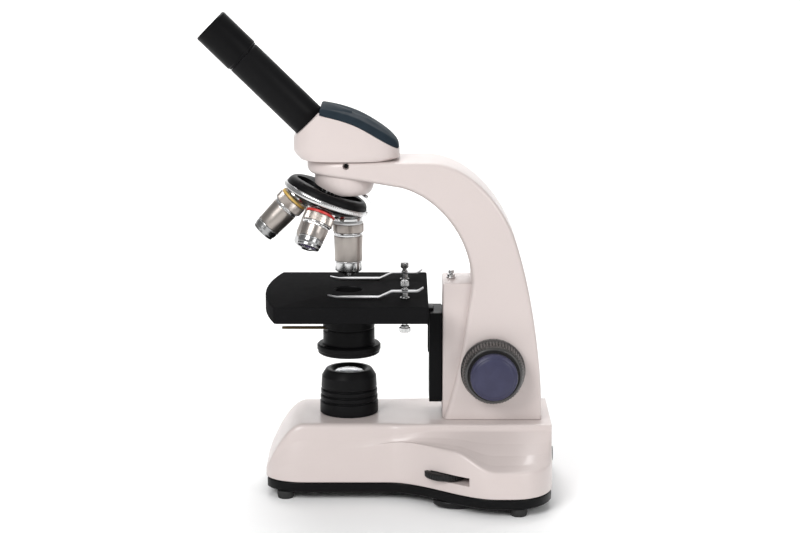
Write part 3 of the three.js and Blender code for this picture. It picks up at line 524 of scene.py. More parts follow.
def circuit_finish(name, colour):
    """Green solder mask with paler tracks."""
    material, tree, shader = new_material(name)
    where = place_of(tree)
    tracks = node(tree, "ShaderNodeTexBrick", {"Vector": where, "Scale": 160.0, "Mortar Size": 0.08})
    tracks.inputs["Color1"].default_value = (*shade(colour, 0.9), 1)
    tracks.inputs["Color2"].default_value = (*shade(colour, 1.15), 1)
    tracks.inputs["Mortar"].default_value = (*shade(colour, 2.0), 1)
    tree.links.new(tracks.outputs["Color"], shader.inputs["Base Color"])
    tree.links.new(remap(tree, noise(tree, where, 200, 2), 0.3, 0.7, 0.35, 0.5), shader.inputs["Roughness"])
    bumps(tree, shader, [(tracks.outputs["Fac"], 0.3, 0.03)])
    return material


_finishes = {}


def finish_recipes(look):
    """The maker of each finish and its values, from the colours in the sidebar."""
    worn = (0.035, 0.035, 0.035)
    recipes = {
        "warm_paint": (painted, dict(colour=look.paint, rough=look.paint_roughness, orange_peel=0.16,
                                     varnish=0.25, edge_wear_and_sheen=shade(look.paint, 0.8), patch=0.025)),
        "black_paint": (painted, dict(colour=look.black, rough=0.38, orange_peel=0.3,
                                      edge_wear_and_sheen=(0.035, 0.035, 0.036), gloss=0.16)),
        # the stage's pale edge colour is partly wear and partly a painted highlight along its top rims
        "stage_black": (painted, dict(colour=look.stage, rough=0.42, orange_peel=0.3,
                                      edge_wear_and_sheen=(0.1, 0.1, 0.102), gloss=0.015)),
        "bottom_black": (painted, dict(colour=shade(look.black, 0.7), rough=0.3, orange_peel=0.2,
                                       edge_wear_and_sheen=worn, gloss=0.2)),
        "slide_black": (painted, dict(colour=look.black, rough=0.34, orange_peel=0.2, edge_wear_and_sheen=worn, gloss=0.12)),
        "slate": (moulded, dict(colour=look.slate, rough=0.3, grain=0.2,
                                edge_wear_and_sheen=shade(look.slate, 1.6), gloss=0.02)),
        "knob_slate": (moulded, dict(colour=look.knob_slate, rough=0.33, grain=0.2,
                                     edge_wear_and_sheen=shade(look.knob_slate, 1.4), gloss=0.3)),
        # the coarse knobs' pale grey edge colour is partly wear and partly a painted sheen on the glossy ribs
        "knob_plastic": (moulded, dict(colour=(0.03, 0.029, 0.028), rough=0.3, grain=0.25,
                                       edge_wear_and_sheen=(0.16, 0.155, 0.15), gloss=0.7)),
        "black_plastic": (moulded, dict(colour=look.black, rough=0.42, grain=0.35,
                                        edge_wear_and_sheen=(0.08, 0.08, 0.08), gloss=0.35)),
        "eyepiece_plastic": (moulded, dict(colour=shade(look.black, 0.8), rough=0.36, grain=0.2,
                                           edge_wear_and_sheen=worn, gloss=0.16)),
        "rubber": (moulded, dict(colour=(0.018, 0.018, 0.018), rough=0.75, grain=0.6)),
        "chrome": (plated, dict(colour=look.chrome, rough=0.12, brushed=0.04)),
        "dark_chrome": (plated, dict(colour=shade(look.chrome, 0.55), rough=0.22, brushed=0.1)),
        "satin_barrel": (plated, dict(colour=look.barrel, rough=0.34, brushed=0.22, stretch=(1, 1, 0.12))),
        "knurled_barrel": (plated, dict(colour=shade(look.barrel, 1.08), rough=0.3, brushed=0.1)),
        "steel": (plated, dict(colour=(0.5, 0.5, 0.51), rough=0.3, brushed=0.15)),
        "brass": (plated, dict(colour=look.brass, rough=0.3, brushed=0.15)),
        "dark_brass": (plated, dict(colour=shade(look.brass, 0.14), rough=0.45, brushed=0.1,
                                    tarnish=(0.02, 0.015, 0.01))),
        "glass": (clear_glass, dict(colour=(0.95, 0.97, 1.0))),
        "coated_glass": (clear_glass, dict(colour=(0.55, 0.6, 0.95), coating=(0.7, 0.45, 0.9))),
        "circuit": (circuit_finish, dict(colour=(0.03, 0.2, 0.09))),
    }
    for ring in ("ring_red", "ring_gold", "ring_blue", "ring_white"):
        recipes[ring] = (painted, dict(colour=getattr(look, ring), rough=0.35, orange_peel=0.1))
    return recipes


def finish_of(name):
    """A finish is made once, when a piece first asks for it."""
    if name not in _finishes:
        maker, values = finish_recipes(bpy.context.scene.microscope_finishes)[name]
        _finishes[name] = maker(name, **values)
    return _finishes[name]


def coat(piece, finish):
    """Gives a piece one finish."""
    piece.data.materials.clear()
    piece.data.materials.append(finish_of(finish))
    return piece


def settle(piece, body, slot, *nodes):
    """Says which body a piece moves with and which frame nodes it stands for; the slot is not used."""
    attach(piece, body)
    if nodes:
        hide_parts(*nodes)
    return piece


# ---------------------------------------------------------------- sizes and colours for the sidebar
def length(name, description, default):
    return FloatProperty(name=name, description=description, default=default,
                         min=0.0, unit="LENGTH", precision=5)


def count_of(name, description, default, **limits):
    return IntProperty(name=name, description=description, default=default, **limits)


def colour(name, description, default):
    return FloatVectorProperty(name=name, description=description, default=default,
                               size=3, min=0.0, max=1.0, subtype="COLOR")


class MicroscopeSizes(bpy.types.PropertyGroup):
    edge_round: length("Casting edges", "Rounding of the arm's edges", 0.004)
    deck_round: length("Deck edge", "Rounding of the upper edge of the base", 0.005)
    stage_edge: length("Stage edge", "Rounding of the stage's rims", 0.0012)
    leaf_thickness: length("Clip thickness", "Thickness of a stage clip", 0.0009)
    knob_ribs: count_of("Knob ribs", "Ribs round a coarse knob", 60, min=12)
    barrel_ribs: count_of("Barrel ribs", "Ribs round an objective's ring", 84, min=12)
    lamp_ribs: count_of("Lamp grooves", "Grooves round the lamp housing", 3, min=1, max=4)


class MicroscopeFinishes(bpy.types.PropertyGroup):
    paint: colour("Paint", "Warm white of the castings", (0.62, 0.545, 0.525))
    paint_roughness: FloatProperty(name="Paint roughness", description="Roughness of the white paint",
                                   default=0.38, min=0.0, max=1.0, subtype="FACTOR")
    black: colour("Black", "Black paint and plastic", (0.007, 0.007, 0.0075))
    stage: colour("Stage", "Black of the stage", (0.010, 0.010, 0.0105))
    slate: colour("Slate", "Blue-grey of the head cap", (0.022, 0.031, 0.04))
    knob_slate: colour("Knob slate", "Blue-grey of the fine knobs", (0.045, 0.045, 0.085))
    chrome: colour("Chrome", "Plated parts", (0.72, 0.72, 0.72))
    barrel: colour("Barrel", "Satin objective barrels", (0.44, 0.40, 0.37))
    brass: colour("Brass", "Brass parts", (0.52, 0.36, 0.16))
    ring_red: colour("Red ring", "Mark of the lowest power", (0.55, 0.03, 0.025))
    ring_gold: colour("Gold ring", "Mark of the low power", (0.62, 0.40, 0.10))
    ring_blue: colour("Blue ring", "Mark of the high power", (0.16, 0.38, 0.62))
    ring_white: colour("White ring", "Mark of the highest power", (0.8, 0.8, 0.8))


# ---------------------------------------------------------------- base
BASE_FRONT = low("base_shell").x
BASE_REAR = high("base_shell").x
BASE_HALF = high("base_shell").y
FRONT_HALF = 45.0
DECK_HALF = 38.0
FRONT_SLOPE = 29.0
FRONT_ROUND = 30.0  # how far the rounded front and rear ends reach along the base
REAR_ROUND = 34.0
RIM_INSET = 1.2  # the bottom plate stands this far inside the shell's outline


def base_half_width(x):
    """Half-width of the base outline at a place along it."""
    start, end = BASE_FRONT + 92, BASE_FRONT + 172
    side = mix(FRONT_HALF, BASE_HALF, smooth((x - start) / (end - start)))
    into_front = min(1.0, max(0.0, (BASE_FRONT + FRONT_ROUND - x) / FRONT_ROUND))
    into_rear = min(1.0, max(0.0, (x - BASE_REAR + REAR_ROUND) / REAR_ROUND))
    side -= 22.5 * (1 - math.sqrt(1 - into_front**2))
    return side - 37.4 * (1 - math.sqrt(1 - into_rear**2.4))


def base_crest(x):
    """Height of the middle of the shell."""
    t = (x - BASE_FRONT) / FRONT_SLOPE
    if t >= 1:
        return DECK_Z
    return mix(SHELL_Z + 5, DECK_Z, math.sin(max(0.0, t) * math.pi / 2) ** 0.85)


def base_half_section(x, deck_round):
    """From the middle of the deck out and down to the plate, with round creases."""
    bottom = base_half_width(x)
    crest = base_crest(x)
    room = (crest - SHELL_Z) / (DECK_Z - SHELL_Z)
    deck = min(DECK_HALF, bottom - 8 * room)
    flare = smooth((x - BASE_FRONT - 58) / 75)
    ear = smooth((x - BASE_FRONT - 140) / 30)
    upper_z = mix(crest - 12 * room, crest - 4.5, flare)
    lower_z = mix(upper_z - 6 * room, mix(SHELL_Z + 31, SHELL_Z + 19, ear), flare)
    lip_z = min(lower_z, upper_z - room)
    upper = max(deck, mix(mix(deck, bottom, 0.25), deck + 0.8, flare))
    lower = mix(mix(deck, bottom, 0.45), bottom - 1.2 - 2 * room, flare)
    line = [(0.0, crest), (deck * 0.5, crest), (deck, crest), (upper, upper_z)]
    for t in (0.25, 0.5, 0.75):
        dip = math.sin(t * math.pi) * 3.2 * flare
        line.append((mix(upper, lower, t), mix(upper_z, lip_z, t) - dip))
    line += [(lower, lip_z), (mix(lower, bottom, 0.5), mix(lip_z, SHELL_Z, 0.4)), (bottom, SHELL_Z + 0.6)]
    radii = [0, 3, deck_round * room, 4 * room, 8, 8, 8, 3.5 * room, 12, 0.6]
    return rounded(line, radii, 5) + [(bottom - 0.5, SHELL_Z)]


def base_stations():
    """Places along the base, closer together at its rounded ends."""
    front_steps, side_steps, rear_steps = 16, 70, 18
    stations = [BASE_FRONT + FRONT_ROUND * (1 - math.cos(i / front_steps * math.pi / 2))
                for i in range(front_steps)]
    stations += [mix(BASE_FRONT + FRONT_ROUND, BASE_REAR - REAR_ROUND, i / side_steps)
                 for i in range(side_steps)]
    stations += [BASE_REAR - REAR_ROUND * (1 - math.sin(i / rear_steps * math.pi / 2))
                 for i in range(rear_steps + 1)]
    return stations


class MICROSCOPE_OT_base_shell(bpy.types.Operator):
    """Painted base shell with its flared rear and swept side shelves"""
    bl_idname = "microscope.base_shell"
    bl_label = "Base shell"

    def execute(self, context):
        deck_round = context.scene.microscope_sizes.deck_round / MM
        rings = []
        for x in base_stations():
            half = base_half_section(x, deck_round)
            right = [(x, -y, z) for y, z in half]
            left = [(x, y, z) for y, z in half[1:]]
            rings.append(right[::-1] + left)
        shell = loft("base_casting", rings, Matrix(), 32)
        wheel_low, wheel_high = low("dimmer_wheel"), high("dimmer_wheel")
        slot_x = (wheel_low.x + wheel_high.x) / 2
        slot = box_piece("slot_tool", (slot_x - 11.5, slot_x + 16.5), (wheel_low.y - 14, wheel_high.y + 1),
                         (wheel_low.z - 0.6, wheel_high.z + 0.6), 0.2, Matrix())
        jack = middle("dc_jack")
        hole = pin("jack_tool", 5.9, -3, 26, along((high("dc_jack").x - 22, jack.y, jack.z), (1, 0, 0)))
        carve(shell, slot, hole, sharp=32)
        settle(coat(shell, "warm_paint"), "base", "paint", "base_shell")
        return {"FINISHED"}


class MICROSCOPE_OT_bottom(bpy.types.Operator):
    """Black bottom plate, dimmer cover and rubber feet"""
    bl_idname = "microscope.bottom"
    bl_label = "Bottom plate and feet"

    def execute(self, context):
        self.plate()
        cover_low, cover_high = low("dimmer_cover"), high("dimmer_cover")
        centre, size = (cover_low + cover_high) / 2, (cover_high - cover_low) / 2
        lid = slab("dimmer_lid", circle(centre, size, 64), cover_low.z, cover_high.z + 0.2, 1.2, Matrix(), 4)
        settle(coat(lid, "black_plastic"), "base", "black_plastic", "dimmer_cover")
        pad = [(0, 0.4), (4.2, 0.4), (4.4, 0), (5.6, 0), (6.2, 2.4), (6.3, 5.8), (0, 5.8)]
        for name in ("foot_front_left", "foot_front_right", "foot_rear_left", "foot_rear_right"):
            place = Matrix.Translation((middle(name).x, middle(name).y, 0))
            foot = turned(name + "_pad", rounded(pad, 0.5, 4), 64, place)
            settle(coat(foot, "rubber"), "base", "rubber", name)
        return {"FINISHED"}

    def plate(self):
        """Flat plate inside the outline of the shell."""
        steps = 90
        front, rear = BASE_FRONT + RIM_INSET, BASE_REAR - RIM_INSET
        stations = [mix(front, rear, 0.5 - 0.5 * math.cos(i / steps * math.pi)) for i in range(steps + 1)]
        half = [(x, base_half_width(x) - RIM_INSET) for x in stations]
        outline = half + [(x, -y) for x, y in reversed(half)]
        plate = slab("bottom_plate", outline, low("base_plate").z, high("base_plate").z, 1.4, Matrix(), 4)
        settle(coat(plate, "bottom_black"), "base", "black_paint", "base_plate")


class MICROSCOPE_OT_controls(bpy.types.Operator):
    """Dimmer thumbwheel, socket and the electrical pieces inside"""
    bl_idname = "microscope.controls"
    bl_label = "Dimmer and socket"

    def execute(self, context):
        self.thumbwheel()
        self.socket()
        carried("circuit_board", "circuit")
        carried("led_module", "circuit")
        carried("dimmer_pot", "steel")
        return {"FINISHED"}

    def thumbwheel(self):
        lowest, highest = low("dimmer_wheel"), high("dimmer_wheel")
        centre = (lowest + highest) / 2
        radius = (highest.x - lowest.x) / 2
        line = [(2.3, lowest.z), (radius - 2, lowest.z), (radius, lowest.z + 0.8), (radius, highest.z - 0.8),
                (radius - 2, highest.z), (2.3, highest.z)]
        place = Matrix.Translation((centre.x, centre.y, 0))
        count = 48
        grip = notches(radius - 1, count, 0.45)
        wheel = turned("dimmer_thumbwheel", rounded(line, 0.3, 3, True), count * 6, place, grip)
        settle(coat(wheel, "black_plastic"), "dimmer", "black_plastic", "dimmer_wheel")

    def socket(self):
        """Round socket in the rear of the base, with its centre pin."""
        front, rear, centre = low("dc_jack").x, high("dc_jack").x, middle("dc_jack")
        place = along((front, centre.y, centre.z), (1, 0, 0))
        reach = rear - front
        line = [(0, 0), (5.5, 0), (5.5, reach), (3.4, reach), (3.2, reach - 0.6), (3.2, reach - 9.5),
                (0, reach - 9.5)]
        socket = turned("power_socket", rounded(line, 0.35, 3), 64, place)
        line = [(0, reach - 9.8), (1.0, reach - 9.8), (1.0, reach - 2.5), (0, reach - 1.8)]
        contact = turned("socket_pin", rounded(line, 0.4, 3), 32, place)
        coat(socket, "black_plastic")
        coat(contact, "steel")
        settle(socket, "base", "black_plastic", "dc_jack")
        settle(contact, "base", "steel")


def carried(name, finish):
    """Gives a plain node of the frame a full finish."""
    target = frame["nodes"][name]
    material = finish_of(finish)
    if target.material_slots:
        for slot in target.material_slots:
            slot.link = "OBJECT"
            slot.material = material
    else:
        target.data.materials.append(material)


# ---------------------------------------------------------------- lamp
class MICROSCOPE_OT_lamp(bpy.types.Operator):
    """Ringed lamp housing, its lens and lens rim"""
    bl_idname = "microscope.lamp"
    bl_label = "Lamp"

    def execute(self, context):
        top, bottom = high("lamp_housing").z, low("lamp_housing").z
        radius = high("lamp_housing").x - AXIS_X
        rings = context.scene.microscope_sizes.lamp_ribs
        line = [(10.2, bottom), (radius - 0.3, bottom), (radius, bottom + 0.6)]
        ring_foot, pitch = bottom + 9.6, 4.6
        for k in range(rings):
            z, wall = ring_foot + pitch * k, radius - 0.3 * k
            groove = wall - 1.9
            line += [(wall - 0.1, z - 0.8), (groove, z - 0.5), (groove, z + 0.5), (wall - 0.4, z + 0.9)]
        line += [(radius - 1.5, top - 5.4), (radius - 3.2, top - 2.6), (radius - 4.6, top - 0.5),
                 (radius - 5.6, top), (14.2, top), (12.1, top - 1.6), (12.1, top - 5.8), (10.2, top - 6.4)]
        housing = turned("lamp_housing_rings", rounded(line, 0.6, 4, True), 128)
        settle(coat(housing, "black_paint"), "base", "black_paint", "lamp_housing")
        line = [(0, top - 5.6), (11.7, top - 5.6), (11.8, top - 3.2)]
        line += dome(11.8, 2.9, top - 3.2, 24, 1, 11) + [(0, top - 0.3)]
        lens = turned("lamp_lens_dome", line, 96)
        settle(coat(lens, "glass"), "base", "glass", "lamp_lens")
        return {"FINISHED"}


# ---------------------------------------------------------------- arm
ARM_NOSE = low("arm").x - AXIS_X
ARM_FOOT = low("arm").z
BLOCK_TOP = STAGE_Z + 8.5  # top of the gear block, behind the stage


def arm_lines():
    """Outer and inner edges of the arm from its nose to the base, as (x, z) about the optical axis."""
    back = high("arm").x - AXIS_X
    top, foot, nose = ARM_TOP_Z, ARM_FOOT, ARM_NOSE
    bend = (back - 23.5, mix(BLOCK_TOP, top, 0.44))
    throat = 91.5
    outer = [(nose, top), (mix(nose, 58, 0.5), top)]
    outer += bezier((58, top), (82, top), (bend[0] - 14.7, bend[1] + 32), bend, 40)
    outer += bezier(bend, (bend[0] + 12, bend[1] - 30), (back - 0.5, KNOB_Z + 14), (back, foot), 50, False)
    inner = bezier((nose, top - 6), (nose + 1, top - 10), (nose + 5, top - 10), (-20, top - 10.2), 12)
    inner += bezier((-20, top - 10.2), (0, top - 12), (20, top - 16), (38.5, top - 18.9), 20, False)
    inner += bezier((38.5, top - 18.9), (66, top - 25.5), (throat, BLOCK_TOP + 35), (throat, BLOCK_TOP),
                    36, False)
    inner += bezier((throat, BLOCK_TOP), (throat - 5.5, KNOB_Z + 25), (84.3, KNOB_Z), (71.3, foot), 30, False)
    return outer, inner


def arm_casting(edge):
    """Rounded bars across the arm, from the nose over the bend and down to the base."""
    outer, inner = arm_lines()
    count = 120
    half = high("arm").y
    rings = []
    for (ox, oz), (ix, iz) in zip(resample(outer, count), resample(inner, count)):
        middle_x = (ox + ix) / 2
        width = half
        if middle_x < 0:
            width = half * math.sqrt(max(0.02, 1 - (middle_x / ARM_NOSE) ** 2))
        depth = math.hypot(ox - ix, oz - iz)
        corner = min(edge, width * 0.45, depth * 0.45)
        section = rounded([(0, -width), (depth, -width), (depth, width), (0, width)], corner, 6, True)
        rings.append([(mix(ix, ox, s / depth), y, mix(iz, oz, s / depth)) for s, y in section])
    return loft("arm_casting", rings, sharp=40)


class MICROSCOPE_OT_arm(bpy.types.Operator):
    """Cast arm with its gear block, set screw and stop screw"""
    bl_idname = "microscope.arm"
    bl_label = "Arm"

    def execute(self, context):
        arm = arm_casting(context.scene.microscope_sizes.edge_round / MM)
        front = low("stop_screw").x - AXIS_X - 3.1
        block = box_piece("block", (front, 104), (-20, 20), (ARM_FOOT, BLOCK_TOP), 1.2)
        carve(block, self.channel(front))
        fuse(arm, block)
        screw = middle("head_screw")
        carve(
            arm,
            self.channel(front),
            pin("bore_tool", 8.7, -30, 30, across(KNOB_X, KNOB_Z)),
            pin("light_tool", 9, ARM_TOP_Z - 30, ARM_TOP_Z + 2),
            pin("seat_tool", 15.5, ARM_TOP_Z - 6, ARM_TOP_Z + 2, segments=72),
            pin("screw_tool", 2.5, -32, -22, across(screw.x, screw.z)),
            sharp=34,
        )
        settle(coat(arm, "warm_paint"), "base", "paint", "arm")
        self.set_screw(screw)
        stop_screw()
        for name in ("arm_bolt_front", "arm_bolt_rear"):
            carried(name, "steel")
        for side in ("left", "right"):
            carried("shaft_bush_" + side, "brass")
        return {"FINISHED"}

    def channel(self, front):
        """Tool for the channel that the slide column runs in."""
        back = high("rack").x - AXIS_X + 0.5
        return box_piece("channel_tool", (front - 4, back), (-13.5, 13.5), (ARM_FOOT - 4, STAGE_Z - 1), 0.2)

    def set_screw(self, centre):
        """Small screw with a six-sided socket in the side of the arm's nose."""
        place = along((centre.x, low("head_screw").y + 3.6, centre.z), (0, -1, 0), (0, 0, 1))
        line = [(0, -8.4), (1.7, -8.4), (1.7, 0), (1.5, 0.5), (0.95, 0.5), (0.95, -0.7), (0, -0.7)]

        def six_sided(r, z, angle):
            return r * (1 - 0.1 * math.cos(6 * angle)) if 0.9 < r < 1.0 else r

        screw = turned("head_set_screw", rounded(line, 0.12, 3), 24, place, six_sided)
        settle(coat(screw, "slide_black"), "base", "steel", "head_screw")


def stop_screw():
    """Screw with a lock nut that limits the stage's lift."""
    place = Matrix.Translation((middle("stop_screw").x, 0, 0))
    foot, top = STAGE_Z - 1, high("stop_screw").z
    neck = top - 2.4
    washer = [(0, BLOCK_TOP + 0.3), (3.4, BLOCK_TOP + 0.3), (3.4, BLOCK_TOP + 1.6), (0, BLOCK_TOP + 1.6)]
    pieces = [turned("washer", rounded(washer, 0.4, 3), 48, place)]
    nut = rounded(circle((0, 0), (2.9, 2.9), 6), 0.3, 3, True)
    pieces.append(slab("lock_nut", nut, BLOCK_TOP + 1.5, BLOCK_TOP + 3.2, 0.25, place))
    thread, pitch = [(0, foot)], 0.5
    z = foot
    while z < neck:
        thread += [(1.5, z + 0.1), (1.25, z + 0.35)]
        z += pitch
    thread += [(1.5, neck), (0, neck)]
    pieces.append(turned("thread", thread, 32, place))
    head = rounded([(0, top - 2.5), (2.1, top - 2.5), (2.1, top - 0.2), (1.1, top), (0, top)], 0.3, 3)
    pieces.append(turned("screw_head", head, 96, place, knurl(top - 2.3, top - 0.3, 24, 0.14)))
    piece = join_pieces("stage_stop_screw", [coat(p, "chrome") for p in pieces])
    settle(piece, "base", "chrome", "stop_screw")


# ---------------------------------------------------------------- focus drive
def outwards(node_name):
    """How far a knob starts and ends from the middle plane, on whichever side it is."""
    return sorted((abs(low(node_name).y), abs(high(node_name).y)))


class MICROSCOPE_OT_knobs(bpy.types.Operator):
    """Coarse knobs with their ribs and dimples, fine knobs with domed faces, and the drive between them"""
    bl_idname = "microscope.knobs"
    bl_label = "Focus knobs"

    def execute(self, context):
        for side, name in ((-1, "right"), (1, "left")):
            place = across(KNOB_X, KNOB_Z, side)
            coarse_knob(name, place, context.scene.microscope_sizes.knob_ribs)
            fine_knob(name, place)
        carried("pinion_shaft", "steel")
        carried("fine_shaft", "steel")
        carried("rack", "brass")
        return {"FINISHED"}


def coarse_knob(name, place, ribs):
    """A beaded rim with a ring of dimples, and grip ribs on the slope outside it."""
    start, end = outwards("coarse_knob_" + name)
    line = [(5.3, start), (21.6, start), (22.0, start + 1.0), (23.4, start + 1.6), (24.0, start + 2.4),
            (24.0, start + 5.6), (23.4, start + 6.4), (23.1, start + 7.2), (22.9, start + 9),
            (22.6, end - 6), (22.3, end - 3), (21.2, end - 0.8), (20.4, end), (19.2, end), (18.9, end - 1.2),
            (5.3, end - 1.2)]
    grip = knob_surface(ribs, start + 6.8, end - 2.4)
    knob = turned("coarse_knob_ring_" + name, rounded(line, 0.35, 2, True), ribs * 8, place, grip)
    ball = [(0, -0.95)] + dome(0.95, 0.95, 0, 12, -5, 5) + [(0, 0.95)]
    dimples = []
    count = ribs // 2
    for k in range(count):
        turn = Matrix.Rotation(2 * math.pi * k / count, 4, "Z")
        spot = place @ turn @ Matrix.Translation((24.35, 0, start + 4.0))
        dimples.append(turned("dimple", ball, 12, spot))
    carve(knob, join_pieces("dimple_tool", dimples), sharp=34)
    settle(coat(knob, "knob_plastic"), "coarse_drive", "black_plastic", "coarse_knob_" + name)


def knob_surface(count, z0, z1):
    """Grip ribs with rounded ends on the sloping side of a knob."""
    inner_radius, depth, run_out = 15, 0.85, 0.8

    def shape(radius, height, angle):
        if radius < inner_radius or not z0 < height < z1:
            return radius
        fade = smooth((height - z0) / run_out) * smooth((z1 - height) / run_out)
        return radius - depth * fade * (1 - min(1.0, wave(count, angle) * 1.9))
    return shape


def fine_knob(name, place):
    """A smooth cap with a rounded rim and a slightly domed face."""
    start, end = outwards("fine_knob_" + name)
    rim = end - 2.4
    line = [(2.8, start), (16.6, start), (16.6, start + 0.8), (17.3, start + 1.2), (17.6, start + 2.0)]
    corner = rounded([(17.5, rim - 2.0), (17.2, rim - 0.6), (15.4, rim)], 1.2, 5)
    face = dome(15.2, 2.3, rim + 0.1, 40, 1, 19)
    profile = line + corner + face + [(0, end), (0, end - 3), (2.8, end - 3), (2.8, start + 0.2)]
    cap = turned("fine_knob_cap_" + name, profile, 160, place)
    settle(coat(cap, "knob_slate"), "fine_drive", "slate", "fine_knob_" + name)


# ---------------------------------------------------------------- slide column
class MICROSCOPE_OT_column(bpy.types.Operator):
    """Slide column in front of the gear block, and the stage bracket in its groove"""
    bl_idname = "microscope.column"
    bl_label = "Slide column"

    def execute(self, context):
        lowest, highest = low("slide_column"), high("slide_column")
        x0 = lowest.x - AXIS_X
        x1 = x0 + 9.5
        column = box_piece("slide_front", (x0, x1), (-17, 17), (lowest.z, highest.z), 0.5)
        back = highest.x - AXIS_X
        fuse(column, box_piece("slide_back", (x0 + 2, back), (-13, 13), (lowest.z, highest.z), 0.4))
        groove = (STAGE_Z - 70, highest.z + 3)
        carve(column, box_piece("groove_tool", (x0 - 3, x0 + 3.5), (-8.5, 8.5), groove, 0.15))
        settle(coat(column, "slide_black"), "column", "black_paint", "slide_column")
        top = high("stage_bracket").z
        line = [(x0 - 12, top), (x0 + 3, top), (x0 + 3, top - 34), (x0 - 1, top - 34), (x0 - 1, top - 13),
                (x0 - 9, top - 5), (x0 - 12, top - 5)]
        outline = rounded(line, [0.5, 0.5, 0.8, 0.8, 3, 2, 1], 4, True)
        bracket = side_bar("stage_bracket_casting", outline, -8, 8, 0.5)
        settle(coat(bracket, "slide_black"), "stage", "black_paint", "stage_bracket")
        return {"FINISHED"}


# ---------------------------------------------------------------- stage
class MICROSCOPE_OT_stage_plate(bpy.types.Operator):
    """Flat black stage with its curved front edge and round light hole"""
    bl_idname = "microscope.stage_plate"
    bl_label = "Stage plate"

    def execute(self, context):
        front = low("stage_plate").x - AXIS_X
        rear = high("stage_plate").x - AXIS_X
        half = high("stage_plate").y
        steps, bow, rear_corner, front_corner = 40, 9.4, 2.5, 6
        arc = []
        for i in range(steps + 1):
            y = mix(-half, half, i / steps)
            arc.append((front + bow * (y / half) ** 2, y))
        radii = [rear_corner, rear_corner, front_corner] + [0] * (steps - 1) + [front_corner]
        outline = rounded([(rear, half), (rear, -half)] + arc, radii, 5, True)
        edge = context.scene.microscope_sizes.stage_edge / MM
        plate = slab("stage_table", clean_outline(outline), STAGE_UNDER_Z, STAGE_Z, edge, steps=4)
        tools = [pin("hole_tool", 10, STAGE_UNDER_Z - 2, STAGE_Z + 2, segments=96),
                 pin("lip_tool", 11.2, STAGE_Z - 0.5, STAGE_Z + 2, segments=96)]
        for name in ("left", "right"):
            post = middle("clip_post_" + name)
            tools.append(pin("post_tool", 2.2, STAGE_UNDER_Z - 2, STAGE_Z + 2,
                             Matrix.Translation((post.x, post.y, 0)), 32))
        carve(plate, *tools, sharp=30)
        settle(coat(plate, "stage_black"), "stage", "stage_black", "stage_plate")
        return {"FINISHED"}


def clean_outline(outline):
    """Drops points that repeat the one before."""
    kept = []
    for point in outline:
        if not kept or (Vector(point) - Vector(kept[-1])).length > 0.02:
            kept.append(point)
    return kept


class MICROSCOPE_OT_clips(bpy.types.Operator):
    """Spring clips with knurled posts and nuts"""
    bl_idname = "microscope.clips"
    bl_label = "Stage clips"

    def execute(self, context):
        thickness = context.scene.microscope_sizes.leaf_thickness / MM
        for name in ("left", "right"):
            post = middle("clip_post_" + name)
            place = Matrix.Translation((post.x, post.y, STAGE_Z))
            coat(clip_leaf(name, place, thickness), "steel")
            clip_post(name, place)
        return {"FINISHED"}


def clip_leaf(name, place, thickness):
    """A bent strip: lifted tip, flat run, slope up to the post and a lifted tail."""
    reach = middle("clip_post_" + name).x - low("clip_leaf_" + name).x
    tail = high("clip_leaf_" + name).x - middle("clip_post_" + name).x - 0.2
    turn_up, root, tip, tail_end = 4.2, 2.9, 0.75, 2.2
    line = [(-reach + 0.2, 2.3), (-reach + 6.5, 0.9), (-18.6, 0.9), (-9.4, 5.3), (tail - turn_up, 5.3),
            (tail, 8.0)]
    spine = resample(rounded(line, [0, 7, 4, 4, 5, 0], 8), 70)
    rings = []
    for i, (x, z) in enumerate(spine):
        ahead = Vector(spine[min(i + 1, len(spine) - 1)]) - Vector(spine[max(i - 1, 0)])
        up = Vector((-ahead.y, ahead.x)).normalized() * thickness
        taper = smooth((x + reach) / 17)
        half = mix(tip, root, taper)
        if x > tail - turn_up:
            half = mix(root, tail_end, (x - tail + turn_up) / turn_up)
        crown = 0.12
        section = [(-half, 0.15), (-half + 0.15, 0), (half - 0.15, 0), (half, 0.15), (half, 0.8),
                   (half - 0.2, 1.0), (0, 1.0 + crown), (-half + 0.2, 1.0), (-half, 0.8)]
        rings.append([(x + up.x * h, y, z + up.y * h) for y, h in section])
    leaf = loft("clip_spring_" + name, rings, place, 34)
    carve(leaf, pin("leaf_tool", 2.15, -1, 12, place, 32), sharp=34)
    settle(leaf, "clip_" + name, "chrome", "clip_leaf_" + name)
    return leaf


def clip_post(name, place):
    """A turned post with a knurled head, its plain shank and the knurled nut under the stage."""
    line = [(0, 0.3), (3.6, 0.3), (3.6, 1.2), (2.5, 1.6), (2.5, 4.7), (1.85, 4.9), (1.85, 6.5), (2.5, 6.7),
            (2.5, 7.4), (1.7, 7.7), (1.7, 9.2), (2.7, 9.5), (3.1, 10.0), (3.1, 13.0), (2.5, 13.7),
            (1.0, 13.7), (0.8, 13.4), (0, 13.4)]
    foot = low("clip_post_" + name).z - STAGE_Z
    shank = [(0, foot), (1.7, foot), (1.85, foot + 0.3), (1.85, 0.4), (0, 0.4)]
    head = turned("head", rounded(line, 0.3, 3), 160, place, knurl(9.9, 13.1, 30, 0.26))
    stem = turned("stem", shank, 40, place)
    piece = join_pieces("clip_post_turned_" + name, [coat(head, "dark_chrome"), coat(stem, "chrome")])
    settle(piece, "stage", "chrome", "clip_post_" + name)
    z0, z1 = low("clip_nut_" + name).z - STAGE_Z, high("clip_nut_" + name).z - STAGE_Z
    line = [(2.15, z0), (3.7, z0), (4.2, z0 + 0.5), (4.2, z1 - 1.4), (3.2, z1 - 1.2), (3.2, z1), (2.15, z1)]
    profile = rounded(line, 0.25, 3, True)
    nut = turned("clip_nut_knurled_" + name, profile, 144, place, knurl(z0 + 0.4, z1 - 1.5, 36, 0.25))
    settle(coat(nut, "chrome"), "stage", "chrome", "clip_nut_" + name)


